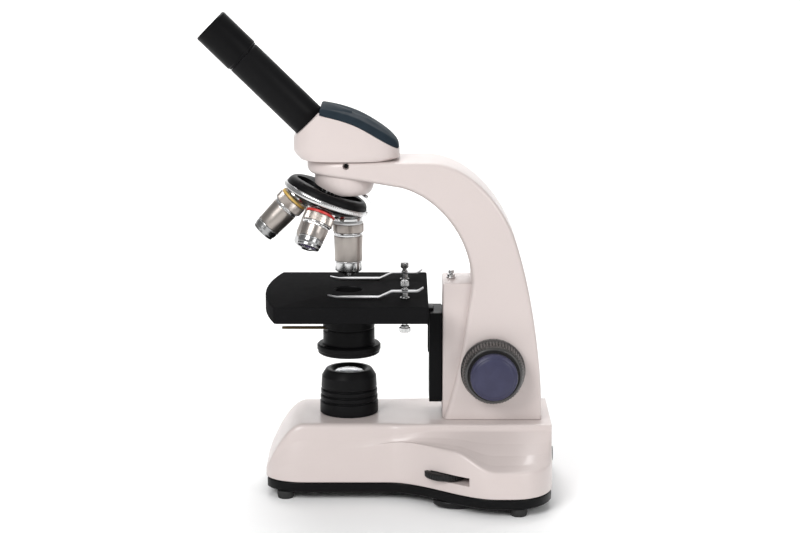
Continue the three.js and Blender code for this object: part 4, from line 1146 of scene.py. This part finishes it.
# ---------------------------------------------------------------- condenser
class MICROSCOPE_OT_condenser(bpy.types.Operator):
    """Condenser body with its lower flange, iris lever and lens"""
    bl_idname = "microscope.condenser"
    bl_label = "Condenser"

    def execute(self, context):
        bottom, top = low("condenser_body").z, high("condenser_body").z
        flange = bottom + 7.4
        line = [(15, bottom), (22.2, bottom), (23.2, bottom + 0.8), (23.2, bottom + 2.6),
                (23.9, bottom + 3.2), (23.9, flange - 1.0), (22.9, flange), (20.4, flange),
                (19.4, flange + 0.8), (19.4, flange + 11.6), (18.9, flange + 12.0), (18.9, flange + 12.8),
                (19.4, flange + 13.2), (19.4, top), (8.2, top), (8.2, top - 5), (15, top - 5)]
        body = turned("condenser_barrel", rounded(line, 0.35, 3, True), 144)
        lever_z = middle("iris_lever").z
        carve(body, self.lever_slot(lever_z), sharp=34)
        settle(coat(body, "black_paint"), "stage", "black_paint", "condenser_body")
        self.lever(lever_z)
        line = [(0, top - 12), (9.8, top - 12), (14.6, top - 9.6), (14.6, top - 5.4), (7.9, top - 5.4),
                (7.6, top - 3.4)]
        line += dome(7.6, 2.2, top - 3.4, 16, 1, 7) + [(0, top - 1.2)]
        glass = turned("condenser_glass", rounded(line, 0.15, 2), 96)
        settle(coat(glass, "glass"), "stage", "glass", "condenser_lens")
        return {"FINISHED"}

    def lever_slot(self, z):
        """Tool for the slot that the lever swings in, a wedge open towards the front."""
        sweep, reach, steps, half_height = math.radians(37), 26, 8, 1.9
        turns = [sweep * t / steps for t in range(steps, -steps - 1, -1)]
        wedge = [(0, 0)] + [(-reach * math.cos(turn), reach * math.sin(turn)) for turn in turns]
        return slab("slot_tool", wedge, z - half_height, z + half_height, 0.05, steps=1)

    def lever(self, z):
        """Thin ring with a flat lever that has a rounded end."""
        reach = AXIS_X - low("iris_lever").x
        plate = slab("iris_plate", circle((0, 0), (14.3, 14.3), 72), z - 0.9, z + 0.9, 0.2)
        carve(plate, pin("iris_tool", 5, z - 3, z + 3))
        bar = [(-reach, -2.0), (-12.5, -2.2), (-12.5, 2.2), (-reach, 2.0)]
        fuse(plate, slab("iris_bar", rounded(bar, [1.8, 0.2, 0.2, 1.8], 5, True), z - 0.8, z + 0.8, 0.25))
        plate.name = "iris_lever_plate"
        settle(coat(plate, "dark_brass"), "iris", "brass", "iris_lever")


# ---------------------------------------------------------------- nosepiece
APEX = Vector(joint("turret_turn")["pos_m"]) / MM
TURRET_DOWN = Vector(joint("turret_turn")["axis"])
NOSE = along(APEX, -TURRET_DOWN, (0, 1, 0))
CONE = math.acos(-TURRET_DOWN.z)  # between the turret's axis and the vertical, and each objective's axis
LONGEST = APEX.z - low("objective_100x").z
SHOULDER = LONGEST - 44.2  # from the apex to the seats of the objectives
TURRET_TOP = SHOULDER - 18.0
RIM_TOP = SHOULDER - 12.9
TURRET_OUTSIDE = high("turret").y


def turret_cone(radius):
    """Height of the turret's conical underside on its own axis, at a radius."""
    return -SHOULDER / math.cos(CONE) + radius * math.tan(CONE)


def seat_place(quarter):
    """Frame of a seat: its Z is the objective's own axis, and it starts at the apex."""
    return NOSE @ Matrix.Rotation(quarter * math.pi / 2, 4, "Z") @ Matrix.Rotation(-CONE, 4, "Y")


class MICROSCOPE_OT_nosepiece(bpy.types.Operator):
    """Fixed mount, domed turret, chrome rim, pivot and click spring"""
    bl_idname = "microscope.nosepiece"
    bl_label = "Nosepiece"

    def execute(self, context):
        self.mount()
        self.turret()
        self.rim()
        self.pivot()
        self.spring()
        return {"FINISHED"}

    def mount(self):
        """White bowl under the arm, cut off over the turret, with a neck on the turret's axis."""
        top = high("nosepiece_mount").z
        radius, flank = 22.1, top - 5.5
        wall = [(0, top), (radius, top), (radius, flank)]
        for t in range(1, 13):
            turn = t * math.pi / 24
            wall.append((radius - 5.2 * (1 - math.cos(turn)), flank - 11 * math.sin(turn)))
        wall.append((0, top - 16.5))
        place = Matrix.Translation((AXIS_X - 2.5, 0, 0))
        bowl = turned("nosepiece_casting", rounded(wall, 0.4, 3), 128, place)
        carve(bowl, box_piece("turret_tool", (-60, 60), (-60, 60), (-90, -TURRET_TOP + 0.8), 0.1, NOSE, 1))
        fuse(bowl, pin("neck", 12, -TURRET_TOP + 0.7, -TURRET_TOP + 12, NOSE, 96), sharp=34)
        light = pin("light_tool", 9, 150, 300)
        carve(bowl, light, pin("pivot_tool", 4.4, -TURRET_TOP - 5, -TURRET_TOP + 9, NOSE), sharp=34)
        settle(coat(bowl, "warm_paint"), "base", "paint", "nosepiece_mount")

    def turret(self):
        """Domed black disc with a conical underside and four slanting seats."""
        wide, edge = TURRET_OUTSIDE, 4.4
        flat = wide - edge
        line = [(4.5, -TURRET_TOP - 3), (wide - 9, -TURRET_TOP - 0.2), (flat, -TURRET_TOP)]
        for t in range(1, 9):
            turn = t * math.pi / 16
            line.append((flat + edge * math.sin(turn), -TURRET_TOP - 5.2 * (1 - math.cos(turn))))
        line += [(wide, -RIM_TOP - 3.6), (wide - 2.8, turret_cone(wide - 2.8)), (4.5, turret_cone(4.5))]
        turret = turned("turret_body", rounded(line, 0.5, 3, True), 160, NOSE)
        seats = [pin("seat_tool", 10.1, -SHOULDER - 8, -20, seat_place(quarter), 64) for quarter in range(4)]
        carve(turret, *seats, sharp=34)
        settle(coat(turret, "black_paint"), "turret", "black_paint", "turret")

    def rim(self):
        """Plated rim with fine grip notches."""
        inside, edge = TURRET_OUTSIDE + 0.2, high("turret_rim").y
        line = [(inside, -RIM_TOP - 4), (edge - 0.7, -RIM_TOP - 4), (edge - 0.1, -RIM_TOP - 3.3),
                (edge, -RIM_TOP - 2.6), (edge, -RIM_TOP - 1.4), (edge - 0.1, -RIM_TOP - 0.7),
                (edge - 0.7, -RIM_TOP), (inside, -RIM_TOP)]
        count = 120
        grip = notches(edge - 0.2, count, 0.12)
        rim = turned("turret_chrome_rim", rounded(line, 0.3, 3, True), count * 6, NOSE, grip)
        settle(coat(rim, "chrome"), "turret", "chrome", "turret_rim")

    def pivot(self):
        """Slotted screw that the turret turns on."""
        end = (SHOULDER - 1) / math.cos(CONE)
        line = [(0, -end - 3.4), (4.2, -end - 3.4), (6.5, -end - 2.2), (6.5, -end - 0.6), (4.0, -end - 0.6),
                (4.0, -TURRET_TOP + 5), (0, -TURRET_TOP + 5)]
        pivot = turned("turret_pivot_screw", rounded(line, 0.5, 4), 64, NOSE)
        carve(pivot, box_piece("slot_tool", (-8, 8), (-0.7, 0.7), (-end - 4.4, -end - 2.4), 0.05, NOSE, 1))
        settle(coat(pivot, "dark_chrome"), "base", "steel", "turret_pivot")

    def spring(self):
        """Bent click spring at the back of the turret, with its screw."""
        out = high("turret_rim").y + 0.7
        half, half_thick = 3.4, 0.35
        line = [(24.0, -TURRET_TOP + 4.4), (28.3, -TURRET_TOP + 3.6), (out - 0.2, -TURRET_TOP + 1.6),
                (out, -TURRET_TOP - 3), (out - 0.2, -RIM_TOP + 1), (out, -RIM_TOP - 3.6)]
        line = rounded(line, [0, 2, 3, 2, 2, 0], 5)
        rings = []
        for i, (x, z) in enumerate(line):
            ahead = Vector(line[min(i + 1, len(line) - 1)]) - Vector(line[max(i - 1, 0)])
            side = Vector((-ahead.y, ahead.x)).normalized() * half_thick
            rings.append([(x - side.x, -half, z - side.y), (x + side.x, -half, z + side.y),
                          (x + side.x, half, z + side.y), (x - side.x, half, z - side.y)])
        leaf = loft("spring_leaf", rings, NOSE, 30)
        head = rounded([(0, 0), (2.2, 0), (2.2, 1.0), (1.2, 1.5), (0, 1.5)], 0.3, 3)
        screw = turned("spring_screw", head, 32, NOSE @ Matrix.Translation((26.8, 0, -TURRET_TOP + 4.3)))
        piece = join_pieces("click_spring_leaf", [coat(leaf, "chrome"), coat(screw, "dark_chrome")])
        settle(piece, "base", "chrome", "click_spring")


# ---------------------------------------------------------------- objectives
OBJECTIVES = (  # node, quarter turns from the one in use, apex to tip, nose and barrel radius, ring, short
    ("objective_100x", 0, LONGEST, 5.2, 10.7, "ring_white", False),
    ("objective_4x", 3, LONGEST - 15, 8.4, 9.8, "ring_red", True),
    ("objective_10x", 2, LONGEST - 6.5, 8.6, 10.0, "ring_gold", True),
    ("objective_40x", 1, LONGEST, 5.0, 10.7, "ring_blue", False),
)


class MICROSCOPE_OT_objectives(bpy.types.Operator):
    """The four objectives with knurled rings, colour bands and front lenses"""
    bl_idname = "microscope.objectives"
    bl_label = "Objectives"

    def execute(self, context):
        for row in OBJECTIVES:
            self.make(context.scene.microscope_sizes.barrel_ribs, *row)
        return {"FINISHED"}

    def make(self, ribs, name, quarter, reach, nose, barrel, band, short):
        """From the seat down: flange, colour ring, knurled grip, collar, barrel and tip, then the lens."""
        place = seat_place(quarter)
        top, bottom = -SHOULDER - 0.3, -reach
        bore = nose - 1.8
        grip = top - (3.6 if short else 5.0)
        ring_top = 1.9 if short else 1.1
        skirt = bottom + (7.4 if short else 11.0)
        collar = grip - 6.4
        foot = barrel - (0.7 if short else 0.3)
        neck = barrel - 0.7
        pieces = []

        def part(finish, line, segments=128, surface=None, radius=0.2):
            made = turned(finish, rounded(line, radius, 3, True), segments, place, surface)
            pieces.append(coat(made, finish))

        part("chrome", [
            (bore, top + 5), (9.8, top + 5), (9.8, top), (10.7, top), (10.7, grip + 1.6 + ring_top),
            (bore, grip + 1.6 + ring_top),
        ])
        part(band, [
            (bore, grip + 0.1 + ring_top), (10.9, grip + 0.1 + ring_top), (10.95, grip + 0.1),
            (bore, grip + 0.1),
        ])
        part("knurled_barrel", [
            (bore, grip), (11.0, grip), (11.4, grip - 0.4), (11.4, grip - 5.9), (11.0, grip - 6.3),
            (bore, grip - 6.3),
        ], ribs * 6, knurl(grip - 5.95, grip - 0.35, ribs, 0.3), 0.12)
        part("chrome", [
            (bore, collar), (10.7, collar), (10.7, collar - 0.8), (barrel - 0.2, collar - 1.4),
            (barrel - 0.2, collar - 2.6), (bore, collar - 2.6),
        ], ribs * 6, knurl(collar - 2.7, collar - 1.3, 40, 0.2))
        part("satin_barrel", [
            (bore, collar - 2.7), (barrel, collar - 2.7), (barrel, collar - 3.4),
            (mix(barrel, barrel - 0.5, 0.5), mix(collar - 3.4, skirt, 0.5)), (foot, skirt), (bore, skirt),
        ])
        part("dark_chrome" if short else "chrome", [
            (bore, skirt - 0.1), (neck + 0.3, skirt - 0.1), (neck + 0.3, skirt - 0.8), (neck, skirt - 1.1),
            (neck, bottom + 3.6), (max(neck - 1.8, nose + 0.2), bottom + 2.2), (nose, bottom + 1.9),
            (nose, bottom + 0.4), (nose - 0.4, bottom), (bore, bottom),
        ], ribs * 6, knurl(bottom + 3.7, skirt - 1.2, 24, 0.1) if short else None)
        settle(join_pieces(name + "_barrel", pieces), "turret", "satin_metal", name)
        edge = bore - 0.25
        line = [(0, bottom + 0.4)]
        for t in range(1, 8):
            turn = t * math.pi / 16
            line.append((edge * math.sin(turn), bottom + 1.4 - math.cos(turn)))
        line += [(edge, bottom + 1.5), (edge, bottom + 3.2), (0, bottom + 3.2)]
        lens = turned(name + "_front_lens", line, 48, place)
        settle(coat(lens, "coated_glass"), "turret", "glass", name + "_lens")


# ---------------------------------------------------------------- head
HEAD_FRONT = low("head_body").x - AXIS_X
HEAD_REAR = high("head_body").x - AXIS_X
HEAD_HALF = high("head_body").y
HEAD_CENTRE = (HEAD_FRONT + HEAD_REAR) / 2
TUBE = along((AXIS_X, 0, HEAD_Z - 0.8), joint("eyepiece_lift")["axis"])


def head_outline(scale=1.0):
    """A rounded oblong round the head, seen from above."""
    count, power = 128, 3.0
    half = (HEAD_REAR - HEAD_FRONT) / 2
    points = []
    for i in range(count):
        c, s = math.cos(2 * math.pi * i / count), math.sin(2 * math.pi * i / count)
        reach = (abs(c) ** power + abs(s) ** power) ** (-1 / power) * scale
        points.append((HEAD_CENTRE + half * reach * c, HEAD_HALF * reach * s))
    return points


def line_height(line, x):
    """Height on a line of (x, z) points at a place along it."""
    for (x0, z0), (x1, z1) in zip(line, line[1:]):
        if x <= x1:
            return mix(z0, z1, max(0.0, (x - x0) / (x1 - x0)))
    return line[-1][1]


def head_parting():
    """Line between the casting and its cap, seen from the side."""
    z = HEAD_Z
    line = [(-60, z), (-41.5, z + 14.5), (-21.3, z + 34.4)]
    line += bezier((-20.6, z + 34.2), (-8, z + 31.6), (2, z + 28.9), (10, z + 24.5), 12)
    return line + bezier((10, z + 24.5), (18, z + 20.2), (28, z + 13.2), (39, z + 7.0), 12, False)


def head_crown():
    """Top of the cap along its middle."""
    z = HEAD_Z
    line = bezier((-21, z + 40.0), (-10, z + 38.6), (2, z + 35.6), (12, z + 30.4), 12)
    return line + bezier((12, z + 30.4), (22, z + 25), (32, z + 18.6), (38.5, z + 11.5), 12, False)


class MICROSCOPE_OT_head(bpy.types.Operator):
    """White head casting, its slate cap, and the prism inside"""
    bl_idname = "microscope.head"
    bl_label = "Head"

    def execute(self, context):
        parting = head_parting()
        body = loft("head_casting", self.casting_rings(parting), sharp=40)
        collar = [(0, 18), (15.2, 22), (15.2, 35.6), (14.4, 36.6), (13.7, 36.6), (0, 36.6)]
        fuse(body, turned("collar", rounded(collar, 0.8, 4), 96, TUBE))
        bore = pin("tube_tool", 13.6, 29, 80, TUBE, 96)
        well = pin("well_tool", 11, HEAD_Z - 3, HEAD_Z + 14)
        carve(body, bore, well, pin("path_tool", 9.9, 4, 37, TUBE))
        ring = [(11, ARM_TOP_Z - 5), (15, ARM_TOP_Z - 5), (15, HEAD_Z + 0.2), (11, HEAD_Z + 0.2)]
        spigot = turned("spigot", rounded(ring, 0.3, 3, True), 96)
        piece = join_pieces("head_casting", [coat(body, "warm_paint"), coat(spigot, "steel")])
        settle(piece, "head", "paint", "head_body")
        self.cap(parting)
        carried("prism", "glass")
        return {"FINISHED"}

    def casting_rings(self, parting):
        """Walls that swell out from a smaller foot up to the parting line, and a closed top."""
        rings = []
        seat = [(mix(2.6, x, 0.875), y * 0.95) for x, y in head_outline()]
        outline = head_outline()
        walls = 16
        for i in range(walls + 1):
            t = i / walls
            ring = []
            for (sx, sy), (ox, oy) in zip(seat, outline):
                bulge = math.sin(min(1.0, t * (1.9 if ox < 0 else 3.4)) * math.pi / 2)
                x, y = mix(sx, ox, bulge), mix(sy, oy, bulge)
                lift = line_height(parting, x) - HEAD_Z
                ring.append((x, y, HEAD_Z + max(lift, 4.0) * t ** 1.15))
            rings.append(ring)
        top = rings[-1]
        for scale, drop in ((0.985, -0.35), (0.96, -0.55), (0.85, -0.6), (0.6, -0.6), (0.3, -0.6)):
            ring = []
            for x, y, _ in top:
                px, py = HEAD_CENTRE + (x - HEAD_CENTRE) * scale, y * scale
                ring.append((px, py, HEAD_Z + max(line_height(parting, px) - HEAD_Z, 4.0) - drop - 0.6))
            rings.append(ring)
        return rings

    def cap(self, parting):
        """Slate cover over the rear of the head, with a rounded edge and a slightly arched top."""
        crown = head_crown()
        start, centre, arch = -20.2, 9.0, 0.9
        clipped = [(max(x, start), y) for x, y in head_outline(0.985)]
        layers = [(0.0, 1.0), (0.35, 1.0), (0.6, 0.995), (0.78, 0.98), (0.9, 0.955), (0.97, 0.92),
                  (1.0, 0.87), (1.0, 0.7), (1.0, 0.45), (1.0, 0.2)]
        rings = []
        for rise, scale in layers:
            ring = []
            for x, y in clipped:
                px, py = centre + (x - centre) * scale, y * scale
                bottom = line_height(parting, px) + 0.3
                arched = line_height(crown, px) + arch * (1 - (y / HEAD_HALF) ** 2) - arch
                top = max(arched, bottom + 0.4)
                ring.append((px, py, mix(bottom, top, rise)))
            rings.append(ring)
        cap = loft("head_cap_cover", rings, sharp=42)
        carve(cap, pin("tube_tool", 13.7, 20, 80, TUBE, 96), sharp=40)
        settle(coat(cap, "slate"), "head", "slate", "head_cap")


# ---------------------------------------------------------------- tube and eyepiece
class MICROSCOPE_OT_eyepiece(bpy.types.Operator):
    """Black eyepiece tube and the eyepiece in it"""
    bl_idname = "microscope.eyepiece"
    bl_label = "Tube and eyepiece"

    def execute(self, context):
        start, end = 29.3, 107.0
        line = [(11.9, start), (13.3, start), (13.3, end - 0.5), (13.0, end), (11.9, end)]
        tube = turned("eyepiece_tube_body", rounded(line, 0.25, 3, True), 128, TUBE)
        settle(coat(tube, "black_paint"), "head", "black_paint", "eyepiece_tube")
        foot, top = end + 0.3, end + 33.85
        line = [(10.2, foot - 26), (11.6, foot - 26), (11.6, foot), (13.3, foot), (13.3, foot + 1.2),
                (14.0, foot + 1.8), (14.0, top - 1.2), (13.2, top), (10.4, top), (8.6, top - 1.6),
                (8.0, top - 3.4), (8.0, top - 9), (10.2, top - 10)]
        body = turned("eyepiece_barrel", rounded(line, 0.4, 4, True), 160, TUBE)
        settle(coat(body, "eyepiece_plastic"), "eyepiece", "black_plastic", "eyepiece_body")
        self.lens("eye_lens", top - 8.2, 7.7, 3.6, "coated_glass")
        self.lens("field_lens", foot - 24, 9.8, 1.6, "glass")
        return {"FINISHED"}

    def lens(self, name, z, radius, rise, finish):
        """A lens with a shallow lower face and a steeper upper one."""
        line = [(0, z)]
        for t in range(1, 11):
            turn = t * math.pi / 20
            line.append((radius * math.sin(turn), z + 0.6 * (1 - math.cos(turn))))
        crown = (rise - 1.0) * 0.8
        line += dome(radius, crown, z + 1.6, 20, 0, 9) + [(0, z + 1.6 + crown)]
        glass = turned(name + "_glass", line, 72, TUBE)
        settle(coat(glass, finish), "eyepiece", "glass", name)


# ---------------------------------------------------------------- studio
class MICROSCOPE_OT_studio(bpy.types.Operator):
    """Pale floor with a swept back, soft lights and the camera"""
    bl_idname = "microscope.studio"
    bl_label = "Studio"

    def execute(self, context):
        self.floor()
        world = bpy.data.worlds.new("studio_air")
        context.scene.world = world
        world.use_nodes = True
        air = world.node_tree.nodes["Background"]
        air.inputs["Color"].default_value = (1.0, 1.0, 1.0, 1)
        air.inputs["Strength"].default_value = 0.3
        self.lamp("key", (-0.75, -1.25, 1.05), 0.9, 17.5)
        self.lamp("fill", (1.15, -1.15, 0.75), 0.9, 8)
        self.lamp("top", (0.1, 0.35, 1.6), 1.4, 5)
        self.lamp("backdrop", (0, 1.0, 1.7), 1.2, 30, (0, 1.9, 0.1))
        eye = bpy.data.cameras.new("studio_camera")
        eye.lens = 97.5
        eye.sensor_width = 36.0
        eye.clip_start = 0.01
        camera = bpy.data.objects.new("studio_camera", eye)
        camera.location = (AXIS_X * MM + 0.0385, -1.587, 0.5004)
        camera.rotation_euler = (math.radians(90 - 11.8), 0, 0)
        context.scene.collection.objects.link(camera)
        context.scene.camera = camera
        context.scene.view_settings.view_transform = "Standard"
        return {"FINISHED"}

    def floor(self):
        """White paper that sweeps up behind the microscope."""
        side, front, back, sweep, rise = 4000, -2500, 1400, 900, 3200
        line = [(front, 0.0), (back, 0.0)]
        line += [(back + sweep * math.sin(t * math.pi / 40), sweep * (1 - math.cos(t * math.pi / 40)))
                 for t in range(1, 21)]
        line.append((back + sweep, rise))
        rings = [[(x, y, z) for y, z in line] for x in (-side, side)]
        points = [p for ring in rings for p in ring]
        count = len(line)
        faces = [(i, i + 1, count + i + 1, count + i) for i in range(count - 1)]
        sheet = mesh_piece("studio_floor", points, faces, Matrix())
        material, tree, shader = new_material("floor_paper")
        where = place_of(tree)
        patches = remap(tree, noise(tree, where, 3, 2), 0.3, 0.7, 0, 1)
        tint = blend_colours(tree, patches, (0.93, 0.93, 0.93), (0.97, 0.97, 0.97))
        tree.links.new(tint, shader.inputs["Base Color"])
        shader.inputs["Roughness"].default_value = 0.9
        shader.inputs["Specular IOR Level"].default_value = 0.1
        sheet.data.materials.append(material)

    def lamp(self, name, place, size, power, target=(0, 0, 0.17)):
        """A round soft light, in metres and watts, aimed at the middle of the microscope."""
        light = bpy.data.lights.new(name + "_light", "AREA")
        light.shape = "DISK"
        light.size = size
        light.energy = power
        holder = bpy.data.objects.new(name + "_light", light)
        holder.location = place
        aim = Vector(target) - Vector(place)
        holder.rotation_euler = aim.to_track_quat("-Z", "Y").to_euler()
        bpy.context.scene.collection.objects.link(holder)


# ---------------------------------------------------------------- sidebar and registration
BUILD_STEPS = (
    MICROSCOPE_OT_base_shell, MICROSCOPE_OT_bottom, MICROSCOPE_OT_controls, MICROSCOPE_OT_lamp,
    MICROSCOPE_OT_arm, MICROSCOPE_OT_knobs, MICROSCOPE_OT_column, MICROSCOPE_OT_stage_plate,
    MICROSCOPE_OT_clips, MICROSCOPE_OT_condenser, MICROSCOPE_OT_nosepiece, MICROSCOPE_OT_objectives,
    MICROSCOPE_OT_head, MICROSCOPE_OT_eyepiece, MICROSCOPE_OT_studio,
)


class MICROSCOPE_PT_sidebar(bpy.types.Panel):
    """Sizes, colours and building steps of the microscope"""
    bl_idname = "MICROSCOPE_PT_sidebar"
    bl_label = "Student microscope"
    bl_space_type = "VIEW_3D"
    bl_region_type = "UI"
    bl_category = "Microscope"

    def draw(self, context):
        for group in (context.scene.microscope_sizes, context.scene.microscope_finishes):
            box = self.layout.box()
            for key in group.__annotations__:
                box.prop(group, key)
        for step in BUILD_STEPS:
            self.layout.operator(step.bl_idname)


CLASSES = (MicroscopeSizes, MicroscopeFinishes, *BUILD_STEPS, MICROSCOPE_PT_sidebar)


def register():
    for cls in CLASSES:
        bpy.utils.register_class(cls)
    bpy.types.Scene.microscope_sizes = PointerProperty(type=MicroscopeSizes)
    bpy.types.Scene.microscope_finishes = PointerProperty(type=MicroscopeFinishes)


def unregister():
    del bpy.types.Scene.microscope_finishes
    del bpy.types.Scene.microscope_sizes
    for cls in reversed(CLASSES):
        bpy.utils.unregister_class(cls)


def main():
    register()
    for step in BUILD_STEPS:
        group, name = step.bl_idname.split(".")
        getattr(getattr(bpy.ops, group), name)()


if __name__ == "__main__":
    main()
